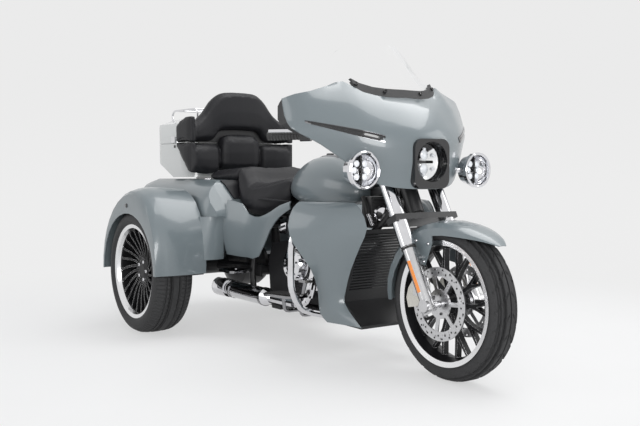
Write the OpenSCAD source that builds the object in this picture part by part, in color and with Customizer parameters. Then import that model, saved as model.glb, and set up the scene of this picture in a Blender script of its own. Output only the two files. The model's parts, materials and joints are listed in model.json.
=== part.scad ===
// Touring trike: one steered wheel in front, two free wheels on a rear axle, V-twin engine,
// fork-mounted fairing, top case and rear trunk. All sizes in mm; X forward, Y left, Z up, floor at 0.

/* [Wheels] */
// distance between the front and rear axles
wheelbase = 1670; // [1600:10:1750]
// outer radius of the front tyre
front_r = 319; // [305:1:330]
// width of the front tyre
front_w = 130; // [110:5:150]
// radius of the front rim's lip
front_lip_r = 257; // [240:1:265]
// outer radius of the rear tyres
rear_r = 325; // [310:1:335]
// width of a rear tyre
rear_w = 215; // [195:5:235]
// radius of the rear rims' lips
rear_lip_r = 245; // [235:1:255]
// from the middle plane to the middle of a rear tyre
rear_track_half = 583; // [560:1:600]
// paired spokes in the front wheel
front_spokes = 10; // [7:1:12]
// curved spokes in a rear wheel
rear_spokes = 22; // [16:1:28]

/* [Steering] */
// lean of the steering axis from vertical, degrees
rake = 26; // [24:0.5:32]
// from the steering axis on the ground back to the tyre's contact
trail = 105; // [80:5:130]
// lean of the fork legs from vertical, degrees
fork_lean = 28.5; // [26:0.5:33]
// from the middle plane to a fork leg
fork_half = 132; // [125:1:145]
// radius of the fork covers
fork_cover_r = 33; // [28:1:38]
// radius of the fork's lower legs
slider_r = 28; // [24:1:31]

/* [Body] */
// from the rear axle back to the tail lamps
rear_overhang = 655; // [600:5:700]
// from the middle plane to a rear fender's outer face
fender_half = 700; // [690:1:720]
// wall of painted panels
panel_t = 5; // [3:0.5:8]
// half width of the trunk body
trunk_half = 425; // [380:5:440]
// top of the trunk body
trunk_top = 800; // [760:5:820]
// half width of the top case
case_half = 300; // [280:5:320]
// height at which the top case splits
case_split = 1002; // [960:2:1040]
// wall of the top case
case_t = 6; // [4:1:10]
// widest half width of the fuel tank
tank_half = 182; // [160:2:200]

/* [Lamps] */
// half width of the headlight's bezel
bezel_half = 96; // [85:1:110]
// radius of the headlight's lens
lens_r = 84; // [75:1:92]
// radius of an auxiliary lamp's ring
aux_r = 78; // [70:1:90]
// from the middle plane to an auxiliary lamp
aux_half = 318; // [300:1:340]

/* [Engine] */
// height of the crankshaft
crank_z = 355; // [320:5:400]
// angle between the cylinders, degrees
vee = 45; // [40:1:60]
// radius of the cylinder fins
fin_r = 78; // [70:1:90]

/* [Hidden] */
$fn = 48;
eps = 0.3;
axle_x = (rear_overhang - wheelbase - front_r) / 2;
axis_ground = wheelbase + trail;
paint = [0.55, 0.58, 0.61];
black = [0.08, 0.08, 0.09];
leather = [0.05, 0.05, 0.06];
chrome = [0.8, 0.8, 0.82];
alu = [0.62, 0.62, 0.6];
clear = [0.75, 0.8, 0.82, 0.4];

function steer_x(z) = axis_ground - z * tan(rake);
function fork_x(z) = wheelbase - (z - front_r) * tan(fork_lean);
function rev(p) = [for (i = [len(p) - 1:-1:0]) p[i]];

// smooth curve through the points or rows, m steps between two of them
function curve(p, m) = let (n = len(p) - 1) [for (i = [0:n - 1])
  let (a = p[max(i - 1, 0)], b = p[i], c = p[i + 1], d = p[min(i + 2, n)])
  for (k = [0:m - 1]) let (t = k / m)
  b + (c - a) * (t / 2) + (2 * a - 5 * b + 4 * c - d) * (t * t / 2) + (3 * b - 3 * c + d - a) * (t * t
    * t / 2), p[n]];

// the same round a closed ring
function round_curve(p, m) = let (n = len(p)) [for (i = [0:n - 1])
  let (a = p[(i + n - 1) % n], b = p[i], c = p[(i + 1) % n], d = p[(i + 2) % n])
  for (k = [0:m - 1]) let (t = k / m)
  b + (c - a) * (t / 2) + (2 * a - 5 * b + 4 * c - d) * (t * t / 2) + (3 * b - 3 * c + d - a) * (t * t
    * t / 2)];

// skin over rings of points; each ring is closed by a strip of faces between its two halves
module loft(rings, turn = false) {
  n = len(rings[0]);
  m = len(rings);
  h = floor(n / 2);
  sides = [for (j = [0:m - 2]) for (i = [0:n - 1])
    let (a = j * n + i, b = j * n + (i + 1) % n, c = (j + 1) * n + (i + 1) % n, d = (j + 1) * n + i)
    each turn ? [[a, b, c], [a, c, d]] : [[a, b, d], [b, c, d]]];
  cap_a = [for (i = [0:h - 2]) each [[i, n - 1 - i, n - 2 - i], [i, n - 2 - i, i + 1]]];
  cap_b = [for (i = [0:h - 2]) each [[(m - 1) * n + i, (m - 1) * n + i + 1, (m - 1) * n + n - 2 - i],
    [(m - 1) * n + i, (m - 1) * n + n - 2 - i, (m - 1) * n + n - 1 - i]]];
  polyhedron(points = [for (r = rings) each r], faces = [for (f = concat(sides, cap_a, cap_b)) rev(f)]);
}

// round bar from point a to point b
module rod(a, b, r) {
  d = b - a;
  l = norm(d);
  translate(a)
    rotate([0, acos(d[2] / l), atan2(d[1], d[0])])
      cylinder(r = r, h = l);
}

function unit(v) = v / norm(v);

// a path with each corner rounded off over length c
function bend(p, c) = [p[0], for (i = [1:len(p) - 2])
  let (a = unit(p[i - 1] - p[i]) * min(c, norm(p[i - 1] - p[i]) * 0.48),
    b = unit(p[i + 1] - p[i]) * min(c, norm(p[i + 1] - p[i]) * 0.48))
  each [p[i] + a, p[i] + a * 0.36 + b * 0.11, p[i] + a * 0.11 + b * 0.36, p[i] + b], p[len(p) - 1]];
function heading(p, i) = unit(p[min(i + 1, len(p) - 1)] - p[max(i - 1, 0)]);
function carry(p, i) = i == 0
  ? let (t = heading(p, 0)) unit(cross(t, abs(t[2]) < 0.8 ? [0, 0, 1] : [1, 0, 0]))
  : let (t = heading(p, i), n = carry(p, i - 1)) unit(n - t * (n * t));

// bent tube through a list of points
module tube(path, r, c = 60, n = 12) {
  p = bend(path, c);
  loft([for (i = [0:len(p) - 1]) let (t = heading(p, i), u = carry(p, i), v = cross(t, u))
    [for (k = [0:n - 1]) p[i] + r * (cos(k * 360 / n) * u + sin(k * 360 / n) * v)]]);
}

// the same piece on both sides of the vehicle
module both() {
  children();
  mirror([0, 1, 0])
    children();
}

// profile in X and Z, pulled from y0 to y1
module across(y0, y1) {
  translate([0, y1, 0])
    rotate([90, 0, 0])
      linear_extrude(y1 - y0)
        children();
}

// places a piece drawn from the rear axle's foot
module veh() {
  translate([axle_x, 0, 0])
    children();
}

// turns a piece drawn round Z so that it turns round the wheel's axle
module wheel_at(x, z) {
  translate([x, 0, z])
    rotate([90, 0, 0])
      children();
}

// ---------------------------------------------------------------- frame and drive

head_low = 672;
head_high = 852;
rail_z = 186;
rail_half = 150;

tube_r = 17;
strut_x = -70;
strut_y = 246;
strut_top = 562;

// one side of the cradle from the neck round to the seat
module side_tube(r) {
  tube([[1375, 22, 725], [1250, 92, 570], [1150, 108, 300], [1105, rail_half, rail_z],
    [345, rail_half, rail_z], [330, rail_half, 330], [330, 118, 560], [470, 52, 640], [600, 14, 712]], r);
}

module frame() {
  color(black) veh() {
    difference() {
      union() {
        rod([steer_x(head_low), 0, head_low], [steer_x(head_high), 0, head_high], 36);
        rod([1370, 0, 762], [585, 0, 720], 28);
        both() {
          side_tube(tube_r);
          tube([[330, 118, 560], [200, 190, 600], [-134, 190, 600]], 16);
          // lift pad
          translate([560, rail_half - 24, rail_z - 23])
            cube([80, 48, 20]);
          // bracket behind the radiator panel
          translate([1180, 92, 420])
            cube([46.3, 24, 20]);
          // swingarm bracket
          translate([330, 134, 300])
            cube([74, 8, 60]);
          // strut bracket
          translate([strut_x - 30, 190, strut_top + eps])
            cube([60, strut_y - 160, 30]);
        }
        rod([1105, -rail_half, rail_z], [1105, rail_half, rail_z], 16);
        rod([345, -rail_half, rail_z], [345, rail_half, rail_z], 16);
        rod([-100, -190, 600], [-100, 190, 600], 14);
        rod([330, -118, 560], [330, 118, 560], 14);
        // engine cradle plate
        translate([660, -rail_half, 192])
          cube([280, 2 * rail_half, 12.7]);
      }
      rod([steer_x(head_low - 40), 0, head_low - 40], [steer_x(head_high + 40), 0, head_high + 40], 26);
    }
  }
}

engine_x = 800;
engine_half = 118;
barrel_base = 120;
barrel_h = 104;
head_h = 78;

// frame of one cylinder, Z along its bore
module cylinder_at(side) {
  translate([engine_x, 0, crank_z])
    rotate([0, side * vee / 2, 0])
      children();
}

primary_y = engine_half + 38;

module engine() {
  color(black) veh() {
    difference() {
      union() {
        across(-engine_half, engine_half)
          polygon([[640, 235], [700, 205], [930, 215], [965, 300], [940, 400], [870, 470], [730, 470],
            [650, 420]]);
        across(-96, 96)
          polygon([[420, 225], [700, 225], [700, 440], [600, 500], [440, 480], [405, 380]]);
        // primary drive on the left
        across(engine_half - 20, primary_y)
          hull_oval([870, 330], [520, 300], 93);
        for (side = [-1, 1])
          cylinder_at(side) {
            translate([0, 0, barrel_base - 40])
              cylinder(r = 58, h = barrel_h + 60);
            for (k = [0:5])
              translate([0, 0, barrel_base + 4 + k * 17])
                cylinder(r = fin_r, h = 6);
            translate([-62, -62, barrel_base + barrel_h])
              cube([124, 124, head_h]);
            for (k = [0:3])
              translate([-fin_r + 1, -fin_r, barrel_base + barrel_h + 4 + k * 19])
                cube([2 * fin_r - 2, 2 * fin_r, 7]);
          }
      }
      // the two cylinders stay apart over the crankcase
      translate([engine_x - 4, -200, crank_z + 151])
        cube([8, 400, 400]);
    }
  }
}

// two circles and the straight band between them
module hull_oval(a, b, r) {
  lean = atan2(a[1] - b[1], a[0] - b[0]);
  polygon([for (e = [[a, -90], [b, 90]]) for (k = [0:9])
    e[0] + r * [cos(lean + e[1] + k * 20), sin(lean + e[1] + k * 20)]]);
}

cover_gap = 0.2;

module engine_covers() {
  color(chrome) veh() {
    for (side = [-1, 1])
      cylinder_at(side)
        translate([0, 0, barrel_base + barrel_h + head_h + 0.2]) {
          translate([-64, -122, 0])
            cube([128, 190, 16]);
          translate([-52, -112, 10])
            cube([104, 168, 24]);
        }
    // cam cover and its round cap on the right
    across(-engine_half - 40, -engine_half - cover_gap)
      hull_oval([760, 350], [850, 325], 82);
    wheel_at(752, 398)
      translate([0, 0, engine_half + 30])
        rotate_extrude()
          polygon([[0, 0], [76, 0], [79, 24], [71, 36], [40, 42], [0, 44]]);
    // round inspection cover on the primary case
    wheel_at(560, 332)
      mirror([0, 0, 1])
        translate([0, 0, primary_y + cover_gap])
          rotate_extrude()
            polygon([[0, 0], [58, 0], [56, 8], [0, 13]]);
    // pushrod tubes
    for (side = [-1, 1]) for (k = [-1, 1])
      rod([engine_x + side * 42 + k * 13, -137, 410],
        [engine_x + side * 117 + k * 16, -109, 639 - side * k * 5.4], 9);
  }
}

module air_cleaner() {
  color(black) veh()
    wheel_at(engine_x, 584)
      rotate_extrude()
        polygon([[0, fin_r + eps], [30, fin_r + eps], [30, 139], [82, 139], [90, 149], [90, 180],
          [76, 196], [30, 202], [0, 202]]);
}

muffler_r = 44;

module exhausts() {
  color(chrome) veh() {
    head_y = fin_r + eps;
    tube([[960, -head_y, 588], [960, -head_y - 30, 588], [962, -150, 560], [975, -200, 420],
      [940, -212, 250], [860, -212, 222], [596, -212, 222]], 20);
    tube([[640, -head_y, 588], [640, -head_y - 24, 588], [600, -140, 570], [520, -100, 548],
      [505, 60, 548], [550, 190, 500], [594, 216, 380], [620, 216, 250], [596, 212, 222]], 20, 70);
    both()
      translate([600, 212, 222])
        rotate([0, -90, 0])
          difference() {
            rotate_extrude()
              polygon([[0, -20], [26, -20], [muffler_r, 30], [muffler_r, 330], [34, 395], [34, 430],
                [0, 430]]);
            translate([0, 0, 380])
              cylinder(r = 29, h = 60);
          }
  }
}

stub_r = 20;

module rear_axle() {
  color(black) veh() {
    wheel_at(0, rear_r)
      rotate_extrude()
        polygon([[0, -588], [stub_r, -588], [stub_r, -442], [62, -442], [62, -430], [42, -424],
          [42, -130], [100, -92], [118, -62],
          [118, 62], [100, 92], [42, 130], [42, 424], [62, 430], [62, 442], [stub_r, 442],
            [stub_r, 588], [0, 588]]);
    both() {
      tube([[10, 190, rear_r], [200, 112, 330], [376, 86, 330]], 27);
      // brake caliper behind the axle
      difference() {
        union() {
          translate([-176, 458, rear_r - 50])
            cube([60, 52, 100]);
          translate([-130, 432, rear_r - 20])
            cube([100, 32, 40]);
        }
        translate([-160, 475, rear_r - 60])
          cube([70, 18, 120]);
      }
      // suspension strut
      rod([strut_x, strut_y, strut_top], [strut_x, strut_y, rear_r + 60], 26);
      rod([strut_x, strut_y, rear_r + 75], [0, strut_y, rear_r], 20);
    }
    wheel_at(374, 330)
      translate([0, 0, -133.8])
        cylinder(r = 26, h = 2 * 133.8);
  }
}

// ---------------------------------------------------------------- tank and seats

// ring of a tank-like body: half widths at five levels
function body_ring(x, low, high, w, flat) = let (h = high - low)
  [[x, -w * 0.55, low], [x, -w * 0.9, low + h * 0.08], [x, -w, low + h * 0.38],
    [x, -w * 0.9, low + h * 0.68],
   [x, -w * 0.62, low + h * 0.9], [x, -w * flat, high], [x, w * flat, high], [x, w * 0.62, low + h * 0.9],
   [x, w * 0.9, low + h * 0.68], [x, w, low + h * 0.38], [x, w * 0.9, low + h * 0.08], [x, w * 0.55, low]];

// place along X, underside, top, half width
tank_rows = [[1168, 735, 800, 70], [1150, 712, 836, 110], [1090, 700, 872, 146], [1000, 694, 902, 170],
  [900, 692, 918, tank_half], [800, 696, 916, 176], [710, 706, 884, 150], [640, 722, 826, 112],
    [606, 740, 782, 70]];

// the tank's outside, swelled by g, its crown raised by h
module tank_form(g, h) {
  loft([for (q = curve(tank_rows, 2))
    round_curve(body_ring(q[0] - (q[0] < 640 ? g * 4 : 0), q[1] - g, q[2] + g + h, q[3] + g * 1.4, 0.3),
      2)]);
}

module fuel_tank() {
  color(paint) veh()
    difference() {
      tank_form(0, 0);
      // tunnel over the backbone
      translate([560, -28.3, 620])
        cube([640, 56.6, 172]);
      // seat of the console
      translate([680, -34, 872])
        cube([360, 68, 60]);
    }
}

module tank_console() {
  color(black) veh() {
    intersection() {
      translate([682, -32, 872.3])
        cube([356, 64, 80]);
      tank_form(0, 7);
    }
    translate([925, 0, 900])
      cylinder(r = 30, h = 32);
  }
}

// seat section: flat underside, soft edges and a dished top
function seat_ring(x, low, high, w, dish) = let (h = high - low)
  [[x, -w * 0.8, low], [x, -w * 0.98, low + h * 0.2], [x, -w, low + h * 0.5], [x, -w * 0.9, low + h * 0.86],
   [x, -w * 0.6, high], [x, -w * 0.2, high - dish], [x, w * 0.2, high - dish], [x, w * 0.6, high],
   [x, w * 0.9, low + h * 0.86], [x, w, low + h * 0.5], [x, w * 0.98, low + h * 0.2], [x, w * 0.8, low]];

module rider_seat() {
  color(leather) veh()
    difference() {
      // place along X, underside, top, half width, dish
      loft([for (q = curve([[632, 748, 800, 70, 0], [600, 700, 820, 118, 2], [540, 644, 802, 176, 8],
        [460, 626, 780, 222, 16], [370, 630, 786, 234, 18], [318, 700, 846, 230, 10],
          [290, 790, 876, 216, 6],
        [259.3, 808, 872, 198, 4]], 2))
        seat_ring(q[0], q[1], q[2], q[3], q[4])]);
      // tunnel over the frame
      translate([395, -88, 560])
        cube([280, 176, 192]);
      // nose over the tank's end
      tank_form(1.5, 0);
    }
}

module passenger_seat() {
  color(leather) veh()
    loft([for (q = [[259, 808, 860, 190, 3], [236, trunk_top + eps, 862, 206, 6],
      [120, trunk_top + eps, 852, 226, 8], [30, trunk_top + eps, 848, 232, 8],
      [-3, 806, 842, 224, 4]])
      seat_ring(q[0], q[1], q[2], q[3], q[4])]);
}

// ---------------------------------------------------------------- rear body

door_low = 392;
door_high = 742;
door_half = 300;
door_gap = 6;
hinge_z = 744.5;
hinge_x = -592;

// place along X, low edge, high edge, half width at the low edge, half width at the middle
side_cover_rows = [[325, 420, 700, 300, 322], [420, 414, 684, 272, 284], [470, 414, 632, 262, 270],
  [556, 424, 622, 252, 256],
  [640, 560, 652, 236, 240], [700, 626, 684, 222, 226], [770, 668, 706, 204, 206]];

module rear_body() {
  color(paint) veh() {
    difference() {
      // crowned body: half widths at levels
      intersection() {
        across(-450, 450)
          polygon([[345, 395], [360, 480], [335, 640], [262, 776], [225, trunk_top], [-500, trunk_top],
            [-572, trunk_top - 40],
            [-604, 650], [-606, 430], [-570, 345], [-430, 318], [-370, 318], [-345, 345], [-345, 395]]);
        loft([for (q = concat(curve([[385, 300], [335, 372], [292, 412], [240, trunk_half]], 2),
          curve([[-450, trunk_half], [-560, 414], [-620, 385]], 2)))
          let (x = q[0], w = q[1],
            e = curve([[w, 560], [w - 14, 690], [w - 60, 762], [w - 130, trunk_top + 1]], 3))
          concat([[x, -w, 300]], [for (p = e) [x, -p[0], p[1]]], [for (p = rev(e)) [x, p[0], p[1]]],
            [[x, w, 300]])]);
      }
      // load space
      translate([-596, -door_half + 14, 402])
        cube([596 - 150, 2 * door_half - 28, trunk_top - 402 - 12]);
      // door opening
      translate([-640, -door_half, door_low])
        cube([70, 2 * door_half, door_high - door_low]);
      // axle and suspension bay under the floor
      translate([-330, -450, 200])
        cube([700, 900, 190]);
      translate([-140, -450, 380])
        cube([700, 900, 236.3]);
      // struts pass behind the trunk's front wall
      both()
        translate([strut_x - 42, 180, 600])
          cube([84, 110, 10]);
    }
    // hinge knuckles of the trunk door
    both() {
      rod([hinge_x, 222, hinge_z], [hinge_x, 262, hinge_z], 7);
      rod([hinge_x, 184, hinge_z], [hinge_x, 230, hinge_z], 3);
      translate([hinge_x, 222, hinge_z - 1])
        cube([30, 40, 8]);
    }
    // side covers below the seats
    both()
      loft([for (q = curve(side_cover_rows, 2))
        let (x = q[0], a = q[1], b = q[2], w = q[3], v = q[4], m = (a + b) / 2, f = (b - a) * 0.2,
          e = curve([[w, a], [v, m - f], [v, m + f], [w - 6, b]], 2))
        concat([for (p = e) [x, p[0], p[1]]], [for (p = rev(e)) [x, p[0] - panel_t - 1, p[1]]])]);
  }
}

// angle round the axle from the front, arch edge, shoulder, crown
fender_rows = [[1, 303, 330, 341], [15, 302, 338, 356], [32, 300, 358, 384], [50, 299, 388, 420],
  [68, 299, 408, 444],
  [90, 302, 402, 436], [112, 310, 384, 410], [135, 326, 370, 390], [158, 340, 364, 381],
    [182, 350, 362, 377]];
fender_in = trunk_half + eps;

// fender section in radius and Y, turned to its angle, its crown raised by h
function fender_ring(q, h = 0) = let (a = q[0], c = q[3] + h, t = panel_t, o = fender_half,
  e = curve([[q[1], o], [q[2], o], [c - 12, o - 34], [c, o - 84], [c, o - 180], [c - 8, fender_in]], 2),
  f = curve([[q[1], o - t], [q[2] - 3, o - t], [c - 12 - t, o - 34 - 2], [c - t, o - 84], [c - t, o - 180],
    [c - 8 - t, fender_in]], 2))
  [for (p = concat(e, rev(f))) [p[0] * cos(a), p[1], rear_r + p[0] * sin(a)]];
fender_all = rev(curve(fender_rows, 2));

module rear_fenders() {
  color(paint) veh()
    both()
      loft([for (q = fender_all) fender_ring(q)]);
}

liner_r = 331;

module fender_liners() {
  color(black) veh()
    both()
      translate([0, 0, rear_r])
        rotate([90, 0, 0])
          mirror([0, 0, 1])
            rotate_extrude(angle = 178)
              polygon([[180, 435], [327.5, 435], [335.2, 520], [335.2, 610], [332, 610], [332, 520],
                [324, 440], [180, 440]]);
}

lamp_turn = 150;

module tail_lamps() {
  color([0.6, 0.03, 0.03]) veh()
    both()
      difference() {
        translate([376.5 * cos(lamp_turn), 590, rear_r + 376.5 * sin(lamp_turn)])
          rotate([0, 90 - lamp_turn, 0])
            cylinder(r = 40, h = 24);
        for (h = [eps, -3])
          loft([for (q = fender_all) fender_ring(q, h)]);
      }
}

plate_z = 306;
plate_hole = 3.5;

module rear_bumper() {
  color(chrome) veh() {
    difference() {
      tube([[-560, -300, 370], [-636, -290, 366], [-636, 290, 366], [-560, 300, 370]], 15);
      across(-400, 400)
        polygon([[-500, 300], [-500, 500], [-606.3, 500], [-606.3, 430], [-570.3, 345], [-551.3, 300]]);
    }
    // number plate holder under the bar
    difference() {
      translate([-rear_overhang, -95, 250])
        cube([6, 190, 108]);
      for (y = [-70, 70])
        translate([-rear_overhang - 1, y, plate_z])
          rotate([0, 90, 0])
            cylinder(r = plate_hole, h = 8);
    }
    translate([-rear_overhang + 3, -30, 350])
      cube([24, 60, 20]);
  }
}

module trunk_door() {
  color(paint) veh() {
    difference() {
      across(-door_half + door_gap, door_half - door_gap)
        polygon([[-572, door_high - door_gap], [-597, door_high - door_gap - 6], [-616, 640], [-622, 440],
          [-612, door_low + door_gap], [-575, door_low + door_gap]]);
      across(-door_half + 30, door_half - 30)
        polygon([[-560, 712], [-590, 706], [-606, 630], [-612, 440], [-604, 420], [-560, 420]]);
    }
    both()
      difference() {
        union() {
          rod([hinge_x, 182, hinge_z], [hinge_x, 222 - eps, hinge_z], 7);
          translate([hinge_x - 5, 182, door_high - 16])
            cube([10, 40 - eps, 17]);
        }
        rod([hinge_x, 170, hinge_z], [hinge_x, 240, hinge_z], 3 + eps);
      }
  }
}

// ---------------------------------------------------------------- top case

case_front = -118;
case_back = -560;

module case_plan(g, z0, z1) {
  translate([0, 0, z0])
    linear_extrude(z1 - z0)
      translate([case_back + g, -case_half + g])
        round_rect(case_front - case_back - 2 * g, 2 * case_half - 2 * g, 96 - g);
}

module round_rect(a, b, r) {
  translate([r, 0])
    square([a - 2 * r, b]);
  translate([0, r])
    square([a, b - 2 * r]);
  for (i = [r, a - r]) for (j = [r, b - r])
    translate([i, j])
      circle(r = r);
}

module top_case_base() {
  color(paint) veh() {
    difference() {
      intersection() {
        case_plan(0, 804, case_split - 1);
        across(-320, 320)
          polygon([[-100, 814], [-300, 810], [-480, 888], [-566, 1010], [-100, 1010]]);
      }
      intersection() {
        case_plan(case_t, 800, 1100);
        across(-320, 320)
          polygon([[-100, 822], [-298, 818], [-474, 894], [-554, 1040], [-100, 1040]]);
      }
    }
    case_knuckles(1, 160 + eps, 200);
    // mounts down to the trunk
    both()
      translate([-330, 110, trunk_top])
        cube([190, 30, 17]);
  }
}

lid_top = 1160;

// the lid's outside, drawn in by g
module lid_form(g) {
  intersection() {
    case_plan(g, case_split + 1 - 50 * sign(g), 1200);
    across(-320, 320)
      polygon([[-100, 900], [-600, 900], [-564 + g, 1040 - g / 2], [-540 + g, 1098 - g],
        [-480, 1140 - g], [-320, lid_top - g], [-180, 1148 - g], [-100, 1120 - g]]);
    translate([0, 0, -g])
      crown_across();
  }
}

// hinge knuckles behind the case with their leaves, below the split or above it
case_hinge_x = case_back - 9;

module case_knuckles(below, y0, y1) {
  both() {
    rod([case_hinge_x, y0, case_split], [case_hinge_x, y1, case_split], 6);
    translate([case_hinge_x - 2, y0, case_split + 2 - below * 12])
      cube([13, y1 - y0, 8]);
  }
}

module top_case_lid() {
  color(paint) veh() {
    difference() {
      lid_form(0);
      lid_form(case_t);
    }
    case_knuckles(0, 120, 160);
  }
}

// softens the lid's left and right shoulders
module crown_across() {
  translate([-700, 0, 0])
    rotate([90, 0, 90])
      linear_extrude(700)
        polygon([[-310, 880], [-308, 1050], [-280, 1116], [-210, 1146], [-80, 1162], [80, 1162],
          [210, 1146], [280, 1116], [308, 1050], [310, 880]]);
}

// cushion drawn in plan by stations: place along Y, front X, back X, low Z, high Z
function pad_ring(q) = let (y = q[0], f = q[1], b = q[2], l = q[3], h = q[4], m = (l + h) / 2,
  c = min(26, (h - l) * 0.3), e = min(22, (f - b) * 0.35))
  [[b, y, l + 6], [b, y, m], [b, y, h - 6], [b + e, y, h], [f - e, y, h], [f, y, h - c], [f + 4, y, m],
    [f, y, l + c], [f - e, y, l], [b + e, y, l]];

pad_gap = 6;

pad_back = case_front + eps;
pad_half = 330;
// half width, then front, back, low and high edges of the upper cushion
lid_pad_rows = [[0, -46, pad_back, 1030, 1296], [90, -48, pad_back, 1026, 1292],
  [135, -52, pad_back, 1018, 1276], [180, -56, pad_back, 1010, 1238],
  [225, -50, pad_back, 1008, 1176], [275, -34, pad_back, 1008, 1132], [308, -30, pad_back, 1008, 1112],
    [pad_half, -52, -100, 1022, 1090]];
// the same for a lower side cushion
side_pad_rows = [[136, -66, pad_back, 846, 990], [152, -44, pad_back, 834, 994],
  [220, -22, pad_back, 828, 996], [290, -10, pad_back, 836, 996], [318, -16, pad_back, 862, 994],
  [pad_half, -40, -100, 890, 980]];
// and for the middle cushion
mid_pad_rows = [[0, -34, pad_back, 850, 1018], [80, -36, pad_back, 850, 1016],
  [112, -46, pad_back, 854, 1006], [126, -64, pad_back, 868, 984]];

function both_ways(rows) = concat([for (q = rev(rows)) if (q[0] > 0) concat([-q[0]],
  [for (i = [1:len(q) - 1]) q[i]])], rows);

module backrest_pads() {
  color(leather) veh() {
    loft([for (q = both_ways(mid_pad_rows)) pad_ring(q)]);
    both()
      loft([for (q = side_pad_rows) pad_ring(q)]);
  }
}

module lid_pads() {
  color(leather) veh()
    loft([for (q = curve(both_ways(lid_pad_rows), 2)) pad_ring(q)]);
}

module luggage_rack() {
  color(chrome) veh() {
    difference() {
      union() {
        both()
          tube([[-500, 200, 1108], [-520, 200, 1176], [-490, 200, 1200], [-220, 200, 1200],
            [-190, 200, 1180], [-200, 200, 1120]], 6, 24);
        for (x = [-470, -345, -230])
          rod([x, -200, 1200], [x, 200, 1200], 5);
      }
      lid_form(-0.2);
    }
    // latch on the right side of the lid
    translate([-300, -case_half - 12, case_split + 4])
      cube([44, 12 - eps, 34]);
  }
}

// ---------------------------------------------------------------- leg shields and feet

// level, then X and Y of the front edge, the brow, the outer bend and the rear edge
shield_rows = [
  [718, 1290, 214, 1228, 256, 1150, 300, 1064, 344],
  [690, 1326, 208, 1262, 262, 1166, 325, 1054, 372],
  [613, 1362, 200, 1290, 262, 1190, 345, 1050, 396],
  [530, 1312, 198, 1256, 258, 1178, 332, 1080, 384],
  [423, 1244, 196, 1206, 246, 1160, 290, 1110, 316],
  [330, 1206, 194, 1180, 232, 1140, 262, 1096, 270],
  [272, 1198, 194, 1176, 226, 1130, 250, 1080, 252],
  [215, 1272, 198, 1240, 214, 1170, 236, 1084, 246],
  [181, 1328, 200, 1270, 208, 1200, 224, 1130, 240]];

module leg_shields() {
  color(paint) veh()
    both()
      loft([for (q = rev(curve(shield_rows, 2))) let (z = q[0], t = panel_t,
          e = curve([[q[1], q[2]], [q[3], q[4]], [q[5], q[6]], [q[7], q[8]]], 2),
          f = curve([[q[1] - 8, q[2] - 1], [q[3] - 6, q[4] - t - 1], [q[5] - 5, q[6] - t - 1],
            [q[7] - 3, q[8] - t]], 2))
        [for (p = concat(e, rev(f))) [p[0], p[1], z]]]);
}

panel_half = 192.7;

module radiator_panel() {
  color(black) veh()
    across(-panel_half, panel_half)
      polygon([[1312, 600], [1300, 600], [1262, 530], [1230, 430], [1196, 330], [1184, 276],
        [1296, 184], [1150, 184],
        [1150, 174], [1316, 172], [1320, 186], [1196, 276], [1206, 330], [1240, 430], [1272, 530]]);
}

board_x = 745;
board_l = 250;

module foot_boards() {
  arm_y = rail_half + tube_r + eps;
  color(chrome) veh()
    both() {
      // rider's board
      translate([board_x, 234, 262])
        rotate([0, -3, 0])
          linear_extrude(12)
            round_rect(board_l, 116, 30);
      for (x = [800, 940])
        tube([[x, arm_y, rail_z], [x, 250, rail_z], [x, 262, 266]], 9, 24, 10);
      // passenger's board
      translate([330, 262, 338])
        linear_extrude(12)
          round_rect(150, 100, 26);
      rod([341, arm_y + 4, 331], [400, 290, 342], 11);
      // pedal
      tube([[960, 262, 282], [1040, 320, 300], [1096, 344, 320], [1112, 344, 372]], 9, 30, 10);
      translate([1090, 322, 366])
        cube([50, 44, 12]);
    }
}

module engine_guard() {
  color(chrome) veh()
    both()
      tube([[1230.5, 109.4, 555], [1130, 250, 640], [1080, 330, 640], [1052, 380, 560], [1048, 380, 330],
        [1022, 310, 226], [1038, 167.4, 190]], 15);
}

// ---------------------------------------------------------------- steering

module yokes() {
  color(black) veh() {
    rod([steer_x(640), 0, 640], [steer_x(900), 0, 900], 25);
    for (z = [642, 878])
      yoke(z);
    // brackets up to the fairing
    both()
      translate([1330, 96, 885])
        cube([18, 8, 960 - eps - 885]);
  }
}

// triple clamp square to the steering axis at height z
module yoke(z) {
  difference() {
    translate([steer_x(z), 0, z])
      rotate([0, -rake, 0])
        linear_extrude(26, center = true)
          polygon([[-34, -40], [-10, -fork_half - 34], [60, -fork_half - 40], [64, 0],
            [60, fork_half + 40], [-10, fork_half + 34], [-34, 40]]);
    both()
      rod([fork_x(z - 60), fork_half, z - 60], [fork_x(z + 60), fork_half, z + 60], slider_r - 3.9);
  }
}

module fork_covers() {
  color(chrome) veh()
    both()
      difference() {
        rod([fork_x(545), fork_half, 545], [fork_x(860), fork_half, 860], fork_cover_r);
        rod([fork_x(500), fork_half, 500], [fork_x(900), fork_half, 900], slider_r - 4 + eps);
        translate([steer_x(642), 0, 642])
          rotate([0, -rake, 0])
            cube([300, 420, 27], center = true);
      }
}

module fork_legs() {
  color(alu) veh() {
    both() {
      rod([fork_x(900), fork_half, 900], [fork_x(520), fork_half, 520], slider_r - 4);
      rod([fork_x(544), fork_half, 544], [fork_x(front_r - 20), fork_half, front_r - 20], slider_r);
      wheel_at(wheelbase, front_r)
        translate([0, 0, fork_half - slider_r])
          cylinder(r = 26, h = 2 * slider_r);
      // lugs for the fender and the brake caliper
      rod([fork_x(500), 88.6, 500], [fork_x(500), fork_half, 500], 12);
      across(106, 114)
        polygon([[1560, 345], [1665, 345], [1640, 425], [1560, 405]]);
    }
    wheel_at(wheelbase, front_r)
      translate([0, 0, -fork_half])
        cylinder(r = 12.5, h = 2 * fork_half);
  }
}

bar_path = [[1300, 34, 906], [1286, 66, 934], [1225, 190, 962], [1120, 318, 1008], [958, 443, 1004]];

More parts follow.
